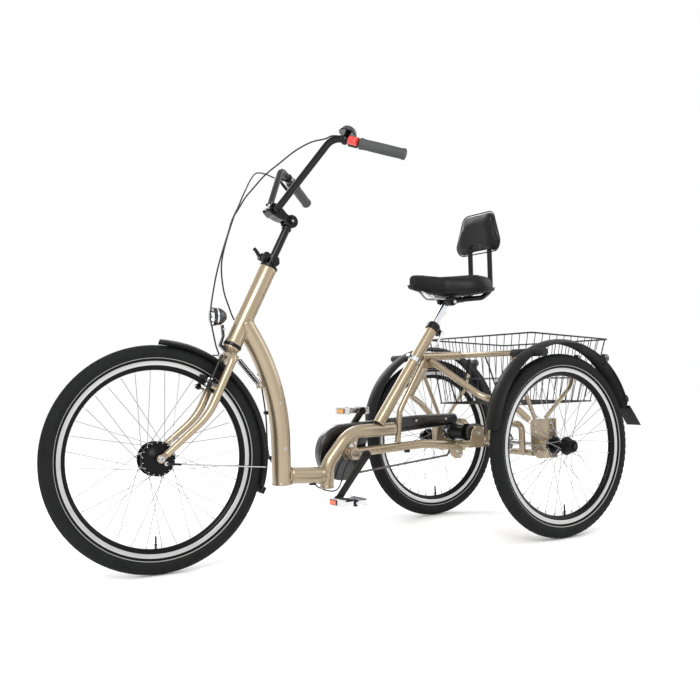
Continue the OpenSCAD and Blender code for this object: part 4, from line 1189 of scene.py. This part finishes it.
def headlight():
    part = Part("headlight_body", LAMP)
    part.lathe([(0.01, -30), (6, -30), (13, -27.5), (20, -20), (24.5, -12), (27.5, -2), (29, 6), (29, 15),
                (28, 16.2),
                (26.2, 16), (26.2, 9)], GLOSS, steps=56)
    part.lathe([(29, 1), (29.4, 1.6), (29.4, 4.4), (29, 5)], CHROME, steps=56)
    part.done("steering", "headlight", slot="gloss_black")
    part = Part("headlight_bracket", STEER)
    part.prism([(-11, 371), (-11, 381), (-33, 386), (-36, 412), (-53, 441), (-58, 439), (-40, 410),
                (-38, 380)], -8, 8,
               BLACK)
    part.bolt(move(8, -47, 430) @ ACROSS, STEEL, 4, 4)
    part.done("steering", slot="black_metal", bevel=0.8)
    part = Part("headlight_reflector", LAMP)
    part.lathe([(26, 11), (24, 4), (20, -3), (14, -9), (7, -12), (4, -12.5), (3.6, -6), (3, -3), (0.01, -2)],
               MIRROR_BOWL, steps=56)
    part.done("steering", slot="chrome")
    part = Part("headlight_clear_lens", LAMP)
    front = [(25.8, 17), (22, 20.5), (16, 22.6), (8, 23.8), (0.01, 24)]
    back = [(0.01, 22.4), (8, 22.2), (16, 21), (22, 18.8), (24.4, 16), (24.4, 12), (25.8, 12)]
    part.lathe(front + back, LENS, steps=56, closed=True)
    part.done("steering", "headlight_lens", slot="lens")


def damper():
    """The steering stabiliser spring between the fork crown and the down tube."""
    start = (ROW.inverted() @ STEER) @ Vector((0, 28, 373))
    end = Vector((0, -921, 527))
    way = (end - start).normalized()
    side = way.orthogonal().normalized()
    other = way.cross(side)
    length = (end - start).length
    part = Part("steering_spring", ROW)
    part.rod(start - way * 2, end + way * 2, 2.2, BLACK, 12)
    turns, steps = 15, 15 * 16
    coil = []
    for k in range(steps + 1):
        t = k / steps
        a = 2 * math.pi * turns * t
        coil.append(start + way * (length * (0.1 + 0.8 * t))
                    + 7.5 * (side * math.cos(a) + other * math.sin(a)))
    part.sweep(coil, 1.5, BLACK, 8)
    part.done(("steering", "frame", ROW @ start, ROW @ end), slot="black_metal")


# ---------- stem and handlebar ----------
KNUCKLE_Z = 836


def stem():
    part = Part("stem_clamp", STEER)
    part.lathe([(13.2, 679), (20, 679), (21, 680), (21, 711), (20, 712), (13.2, 712)], BLACK, steps=44)
    for x in (-17, 5):
        part.prism([(-18, 682), (-33, 682), (-38, 687), (-38, 703), (-33, 708), (-18, 708)], x, x + 12, BLACK)
    part.rod((-30, -30, 694), (24, -30, 694), 4, STEEL, 16)
    part.lathe([(0.01, 0), (9, 0), (11, 2), (11, 10), (9.5, 12), (0.01, 12)], BLACK,
               move(20, -30, 694) @ ACROSS, 28)
    part.lathe([(0.01, 0), (12, 0), (14, 2), (14, 6), (12, 8), (0.01, 8)], BLACK, move(17, 6, 692) @ ACROSS,
               28)
    part.done("steering", "stem_collar", slot="black_metal", bevel=0.8)
    part = Part("stem_quick_lever", STEER @ move(-22, -30, 694))
    part.lathe([(4.1, -6), (8.2, -6), (9, -5), (9, 1), (8.2, 2), (4.1, 2)], BLACK, ACROSS, 28)
    part.sweep(curve([(-2, -5, 3), (-2, -14, 9), (-2, -24, 14), (-2, -33, 17)]), lambda t: 6.2 - 0.6 * t,
               BLACK, 14)
    part.done("stem_lever", "stem_lever", slot="black_metal")
    part = Part("stem_tube_and_knuckle", STEER)
    part.lathe([(9.5, 560), (12.7, 560), (12.7, 806), (14.6, 807.5), (15.8, 810), (15.8, 815), (13.5, 817),
                (12.8, 819),
                (12.8, 828), (0.01, 830)], BLACK, steps=44)
    part.lathe([(5.1, -13), (16.2, -13), (17, -12), (17, 12), (16.2, 13), (5.1, 13)], BLACK,
               move(0, 0, KNUCKLE_Z) @ ACROSS, 40)
    part.done("stem", "stem_post", slot="black_metal")
    part = Part("stem_head_forged", STEER)
    for x in (-22, 13.5):
        part.lathe([(0.01, 0), (19.5, 0), (21, 1.5), (21, 7), (19.5, 8.5), (0.01, 8.5)], BLACK,
                   move(x, 0, KNUCKLE_Z) @ ACROSS, 40)
        part.prism([(-2, 826), (-2, 847), (-46, 850), (-46, 826)], x, x + 8.5, BLACK)
    part.prism([(-26, 824), (-26, 849), (-44, 856), (-62, 857), (-62, 822), (-44, 821)], -21.5, 21.5, BLACK)
    part.lathe([(12.8, -24), (19, -24), (20, -23), (20, 23), (19, 24), (12.8, 24)], BLACK,
               move(0, -65, 840) @ ACROSS, 40)
    part.rod((-28, 0, KNUCKLE_Z), (28, 0, KNUCKLE_Z), 5, STEEL, 18)
    for s in (1, -1):
        part.bolt(move(s * 22, 0, KNUCKLE_Z) @ turn(s * 90, "Y"), BLACK, 9, 8)
        for z in (828, 853):
            part.bolt(move(s * 14, -84, z) @ turn(90, "X"), BLACK, 4.4, 5)
    part.prism([(-66, 820), (-82, 824), (-87, 840), (-82, 856), (-66, 860)], -22, 22, BLACK)
    part.done("handlebar", "stem_head", slot="black_metal", bevel=1.0)


def handlebar():
    part = Part("handlebar_bent_tube", STEER)
    points = [BAR_END, BAR_TOP, BAR_LOW] + flip([BAR_LOW, BAR_TOP, BAR_END])
    part.sweep(bent(points, [50, 35, 35, 50], 4), BAR_R, BLACK, 32)
    part.done("handlebar", "handlebar", slot="black_metal")
    for right, length in ((False, 140), (True, 104)):
        part = Part("grip_moulded_" + ("right" if right else "left"), on_grip(-4, right))
        rings = []
        profile = [(0.01, 0), (13.5, 0), (15.6, 1), (17.2, 3), (17.5, 5), (17.5, 9), (16.4, 12)]
        profile += [(16.0 + 0.5 * math.sin(math.pi * k / 30), 14 + (length - 26) * k / 30) for k in range(31)]
        profile += [(17.3, length - 5), (17.6, length - 2), (17.6, length + 3), (16.8, length + 4),
                    (11.2, length + 4)]
        for i in range(72):
            a = 2 * math.pi * i / 72
            groove = 0.45 if i % 4 == 0 else 0.0
            rings.append([Vector(((r - (groove if 16 < z < length - 14
                                        and math.cos(a) > -0.6 else 0)) * math.cos(a),
                                  (r - (groove if 16 < z < length - 14
                                        and math.cos(a) > -0.6 else 0)) * math.sin(a),
                                  z)) for r, z in profile])
        part.skin(rings, GRIP, around=False, along=True, caps=False)
        part.done("handlebar", *(["grips"] if right else []), slot="rubber", angle=60)


def levers():
    part = Part("brake_perch_and_bell_clamp", on_grip(164, True))
    part.lathe([(11.2, -9), (15, -9), (15.5, -8), (15.5, 8), (15, 9), (11.2, 9)], BLACK, steps=36)
    for x in (-8, 4.3):
        part.prism([(8, -8), (30, -8), (37, -4), (38, 0), (37, 5), (30, 8), (8, 8)], x, x + 3.7, BLACK)
    part.rod((-8.6, 32, 0), (8.6, 32, 0), 2.5, STEEL, 14)
    part.rod((-1, 18, 8), (-1, 27, 24), 4.5, BLACK, 16)
    part.bolt(move(0, -15, 0) @ turn(90, "X"), STEEL, 4, 3)
    part.done("handlebar", "lever_perches", slot="black_metal", bevel=0.6)
    part = Part("bell_clamp", on_grip(188))
    part.lathe([(11.2, -6), (14.4, -6), (15, -5), (15, 5), (14.4, 6), (11.2, 6)], BLACK, steps=36)
    part.lathe([(0.01, 13), (9, 13), (9, 18), (7, 19), (3, 19.4), (3, 28), (0.01, 28)], BLACK, turn(-90, "Y"),
               28)
    part.done("handlebar", slot="black_metal")
    part = Part("brake_lever_blade", on_grip(164, True))
    part.lathe([(2.6, -3.9), (6, -3.9), (6.5, -3.4), (6.5, 3.4), (6, 3.9), (2.6, 3.9)], BLACK,
               move(0, 32, 0) @ ACROSS, 24)
    blade = curve([(0, 33, -2), (0, 41, -14), (0, 46, -36), (0, 45.5, -70), (0, 44, -96), (0, 46.5, -112)])
    rings = []
    for i, point in enumerate(blade):
        t = i / (len(blade) - 1)
        ahead = (blade[min(i + 1, len(blade) - 1)] - blade[max(i - 1, 0)]).normalized()
        side = ahead.cross(X).normalized()
        half_w, half_t = 4.0 + 3.0 * math.sin(math.pi * min(1, t * 1.3) / 2), 3.2 - 0.6 * t
        rings.append([point + X * half_w * math.cos(a) + side * half_t * math.sin(a)
                      for a in (2 * math.pi * k / 16 for k in range(16))])
    part.skin(rings, BLACK)
    part.done("brake_lever", "brake_lever", slot="black_plastic")
    part = Part("twist_shifter", on_grip(104.5, True))
    rings = []
    profile = [(11.2, 0.4), (16.5, 0.4), (18, 2), (18.5, 4), (18.5, 24), (17.2, 26), (17.2, 28), (18.4, 29),
               (18.4, 36),
               (17, 37.6), (11.2, 37.6)]
    for i in range(96):
        a = 2 * math.pi * i / 96
        ridge = 0.8 if i % 4 < 2 else 0
        rings.append([Vector(((r - (ridge if 3 < z < 25 else 0)) * math.cos(a),
                              (r - (ridge if 3 < z < 25 else 0))
                              * math.sin(a), z)) for r, z in profile])
    part.skin(rings, GRIP, around=False, along=True, caps=False)
    part.done("shifter", "shifter_ring", slot="black_plastic", angle=40)
    part = Part("bell_dome", on_grip(188) @ turn(-90, "Y") @ move(0, 0, 20))
    part.lathe([(3.1, 1), (24, 1), (26.5, 0.6), (28, 1.4), (28, 5.4), (27.2, 6.4), (26.6, 7), (25.6, 12),
                (22.6, 16.6),
                (18, 20), (12, 22.6), (6, 23.8), (0.01, 24)], GLOSS, steps=56)
    part.done("bell", "bell", slot="gloss_black")
    part = Part("parking_lever_thumb", on_grip(158))
    part.lathe([(11.2, -12), (15.6, -12), (16.5, -11), (16.5, 15), (15.6, 16), (11.2, 16)], SATIN, steps=36)
    part.skin([[Vector((x, y, z)) for x, z in ((-6, -14), (17, -14), (17, 16), (-6, 16))] for y in (8, 20)]
              + [[Vector((x, 27, z)) for x, z in ((-2, -11), (15, -11), (15, 13), (-2, 13))]], RED)
    part.done("parking_lever", "parking_lever", slot="red_plastic", bevel=1.6)


# ---------- saddle and backrest ----------
SADDLE_FRONT, SADDLE_LONG = -342, 300


def saddle_half(y):
    t = (y - SADDLE_FRONT) / SADDLE_LONG
    if t < 0.42:
        return 17 + 22 * math.sin(t / 0.42 * math.pi / 2)
    if t < 0.78:
        return 39 + 81 * math.sin((t - 0.42) / 0.36 * math.pi / 2)
    return 39 + 81 * math.sin(math.radians(90 + (t - 0.78) / 0.22 * 42))


def saddle_top(y):
    """Height of the saddle's ridge: a high nose, a dip and a raised tail."""
    t = (y - SADDLE_FRONT) / SADDLE_LONG
    return 891 - 8 * math.sin(math.pi * min(1, t / 0.8)) - 4 * t


def saddle_low(y):
    """Height of the skirt's edge, which hangs lowest under the middle."""
    t = (y - SADDLE_FRONT) / SADDLE_LONG
    return 838 - 17 * math.sin(math.pi * t / 1.1) - 5 * t


def saddle_rings(inset, crown):
    rings = []
    count = 30
    for i in range(count + 1):
        t = i / count
        y = SADDLE_FRONT + 3 + (SADDLE_LONG - 6) * (0.5 - 0.5 * math.cos(math.pi * t))
        end = min(t, 1 - t) * count
        pinch = (0.35, 0.72, 0.9, 0.98)[int(end)] if end < 4 else 1.0
        half = (saddle_half(y) - inset) * (pinch if t > 0.5 else max(pinch, 0.5))
        low = saddle_low(y)
        top = low + (saddle_top(y) - crown - low) * pinch
        ring = []
        for k in range(32):
            a = 2 * math.pi * k / 32
            c, s = math.cos(a), math.sin(a)
            x = half * math.copysign(abs(c) ** 0.52, c)
            if s >= 0:
                channel = 5 * math.exp(-(x / 15) ** 2) * min(1, half / 70)
                z = low + 8 + (top - low - 8) * s ** 0.62 - channel * s
            else:
                z = low + 8 * (1 + s)
                x *= 1 - 0.1 * abs(s)
            ring.append(Vector((x, y, z)))
        rings.append(ring)
    return rings


def inflate(piece, voxel, pressure, cap):
    """Swells a pad by cloth under pressure, holding back any point that moves too far."""
    bpy.context.view_layer.objects.active = piece
    for other in bpy.context.selected_objects:
        other.select_set(False)
    piece.select_set(True)
    remesh = piece.modifiers.new("remesh", "REMESH")
    remesh.mode = "VOXEL"
    remesh.voxel_size = voxel * MM
    bpy.ops.object.modifier_apply(modifier=remesh.name)
    before = [v.co.copy() for v in piece.data.vertices]
    cloth = piece.modifiers.new("cloth", "CLOTH")
    cloth.settings.use_pressure = True
    cloth.settings.uniform_pressure_force = pressure
    cloth.settings.effector_weights.gravity = 0
    cloth.settings.quality = 6
    scene = bpy.context.scene
    for step in range(1, 21):
        scene.frame_set(step)
    posed = piece.evaluated_get(bpy.context.evaluated_depsgraph_get()).data
    after = [v.co.copy() for v in posed.vertices]
    piece.modifiers.remove(cloth)
    scene.frame_set(1)
    limit = cap * MM
    for vertex, old, new in zip(piece.data.vertices, before, after):
        shift = new - old
        if shift.length > limit:
            shift *= limit / shift.length
        vertex.co = old + shift
    for polygon in piece.data.polygons:
        polygon.use_smooth = True


def saddle():
    part = Part("saddle_padded_cover")
    part.skin(saddle_rings(4, 3), VINYL)
    cover = part.done("seat", slot="saddle_vinyl", angle=180)
    inflate(cover, 5, 3.0, 4)
    smooth = cover.modifiers.new("smooth", "SUBSURF")
    smooth.levels = smooth.render_levels = 1
    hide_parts("saddle_cover")
    part = Part("saddle_shell")
    rings = []
    for lift, inset in ((2, 24), (1, 16), (0, 9), (3, 5), (9, 3.5), (12, 5)):
        ys = [SADDLE_FRONT + inset + (SADDLE_LONG - 2 * inset) * i / 30 for i in range(31)]
        right = [Vector((max(6, saddle_half(y) - inset), y, saddle_low(y) + lift)) for y in ys]
        rings.append(right + flip(right[::-1]))
    part.skin(rings, SATIN)
    part.done("seat", "saddle_base", slot="black_plastic")
    part = Part("saddle_seam")
    ys = [SADDLE_FRONT + 4 + (SADDLE_LONG - 8) * i / 40 for i in range(41)]
    half = [max(8, saddle_half(y) - 1.6) for y in ys]
    right = [Vector((h, y, saddle_low(y) + 12)) for h, y in zip(half, ys)]
    part.sweep(right + flip(right[::-1]), 1.4, VINYL, 8, closed=True)
    part.done("seat", slot="saddle_vinyl")
    part = Part("saddle_rails_bent")
    rail = bent([(7, -300, 832), (21, -255, 804), (21, -112, 804), (46, -78, 832)], [24, 24], 5)
    for side in (list, flip):
        part.sweep(side(rail), 3.5, STEEL, 14)
    part.done("seat", "saddle_rails", slot="chrome")
    part = Part("seatpost_chromed", SEAT)
    part.lathe([(12.4, -180), (15, -180), (15, 92), (12.4, 92)], CHROME, steps=44)
    part.done("seat", "seatpost", slot="chrome")
    part = Part("saddle_clamp")
    hub = move(0, -178, 796)
    part.lathe([(0.01, -32), (14, -32), (16, -30), (16, 30), (14, 32), (0.01, 32)], BLACK, hub @ ACROSS, 32)
    for s in (1, -1):
        part.prism([(-204, 793), (-198, 788), (-158, 788), (-152, 793), (-152, 804), (-158, 810), (-198, 810),
                    (-204, 804)], s * 21 - 8, s * 21 + 8, BLACK)
    part.rod((-38, -178, 793), (38, -178, 793), 4, STEEL, 14)
    part.nut(move(36, -178, 793) @ ACROSS, STEEL, 7, 6)
    part.nut(move(-42, -178, 793) @ ACROSS, STEEL, 7, 6)
    part.done("seat", slot="black_metal", bevel=1.0)


PAD_CORNERS = [(82, 1006, 34), (55, 1080, 34)]


def pad_outline(grow=0.0, steps=10):
    """A rounded trapezoid in X and Z, anticlockwise from the lower right corner."""
    (x0, z0, r0), (x1, z1, r1) = PAD_CORNERS
    outline = []
    for x, z, r, start, end in ((x0, z0, r0, -90, 10), (x1, z1, r1, 10, 90), (-x1, z1, r1, 90, 170),
                                (-x0, z0, r0, 170, 270)):
        outline += circle_outline(x, z, r + grow, start, end, steps)
    return outline


def pad_rings(shares, depth_of, centre=(0, 1043)):
    rings = []
    outline = pad_outline()
    for share in shares:
        ring = []
        for x, z in outline:
            px, pz = centre[0] + (x - centre[0]) * share, centre[1] + (z - centre[1]) * share
            ring.append(Vector((px, depth_of(share) - px * px / 1300, pz)))
        rings.append(ring)
    return rings


def backrest():
    part = Part("backrest_cushion")
    shares = [0.04, 0.3, 0.55, 0.75, 0.88, 0.95, 0.985, 1.0]
    front = pad_rings(shares, lambda s: -22 - 19 * (1 - s ** 5) ** 0.5)
    back = pad_rings(shares[::-1], lambda s: -22 + 14 * (1 - s ** 6) ** 0.5)
    part.skin(front + back[1:], VINYL)
    cushion = part.done("seat", slot="saddle_vinyl", angle=180)
    inflate(cushion, 5, 4.0, 8)
    smooth = cushion.modifiers.new("smooth", "SUBSURF")
    smooth.levels = smooth.render_levels = 1
    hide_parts("backrest_pad")
    part = Part("backrest_welt")
    welt = [Vector((x, -22 - x * x / 1300, z)) for x, z in pad_outline(0.6, 12)]
    part.sweep(welt, 2.2, VINYL, 10, closed=True)
    part.done("seat", slot="saddle_vinyl")
    part = Part("backrest_posts_bent")
    post = bent([(24, -166, 800), (52, -66, 808), (52, -25, 834), (52, -25, 1066)], [30, 30], 5)
    for side in (list, flip):
        part.sweep(side(post), 9, BLACK, 26)
    part.done("seat", "backrest_posts", slot="black_metal", bevel=0.8)


fork()
brake_arms()
headlight()
damper()
stem()
handlebar()
levers()
saddle()
backrest()
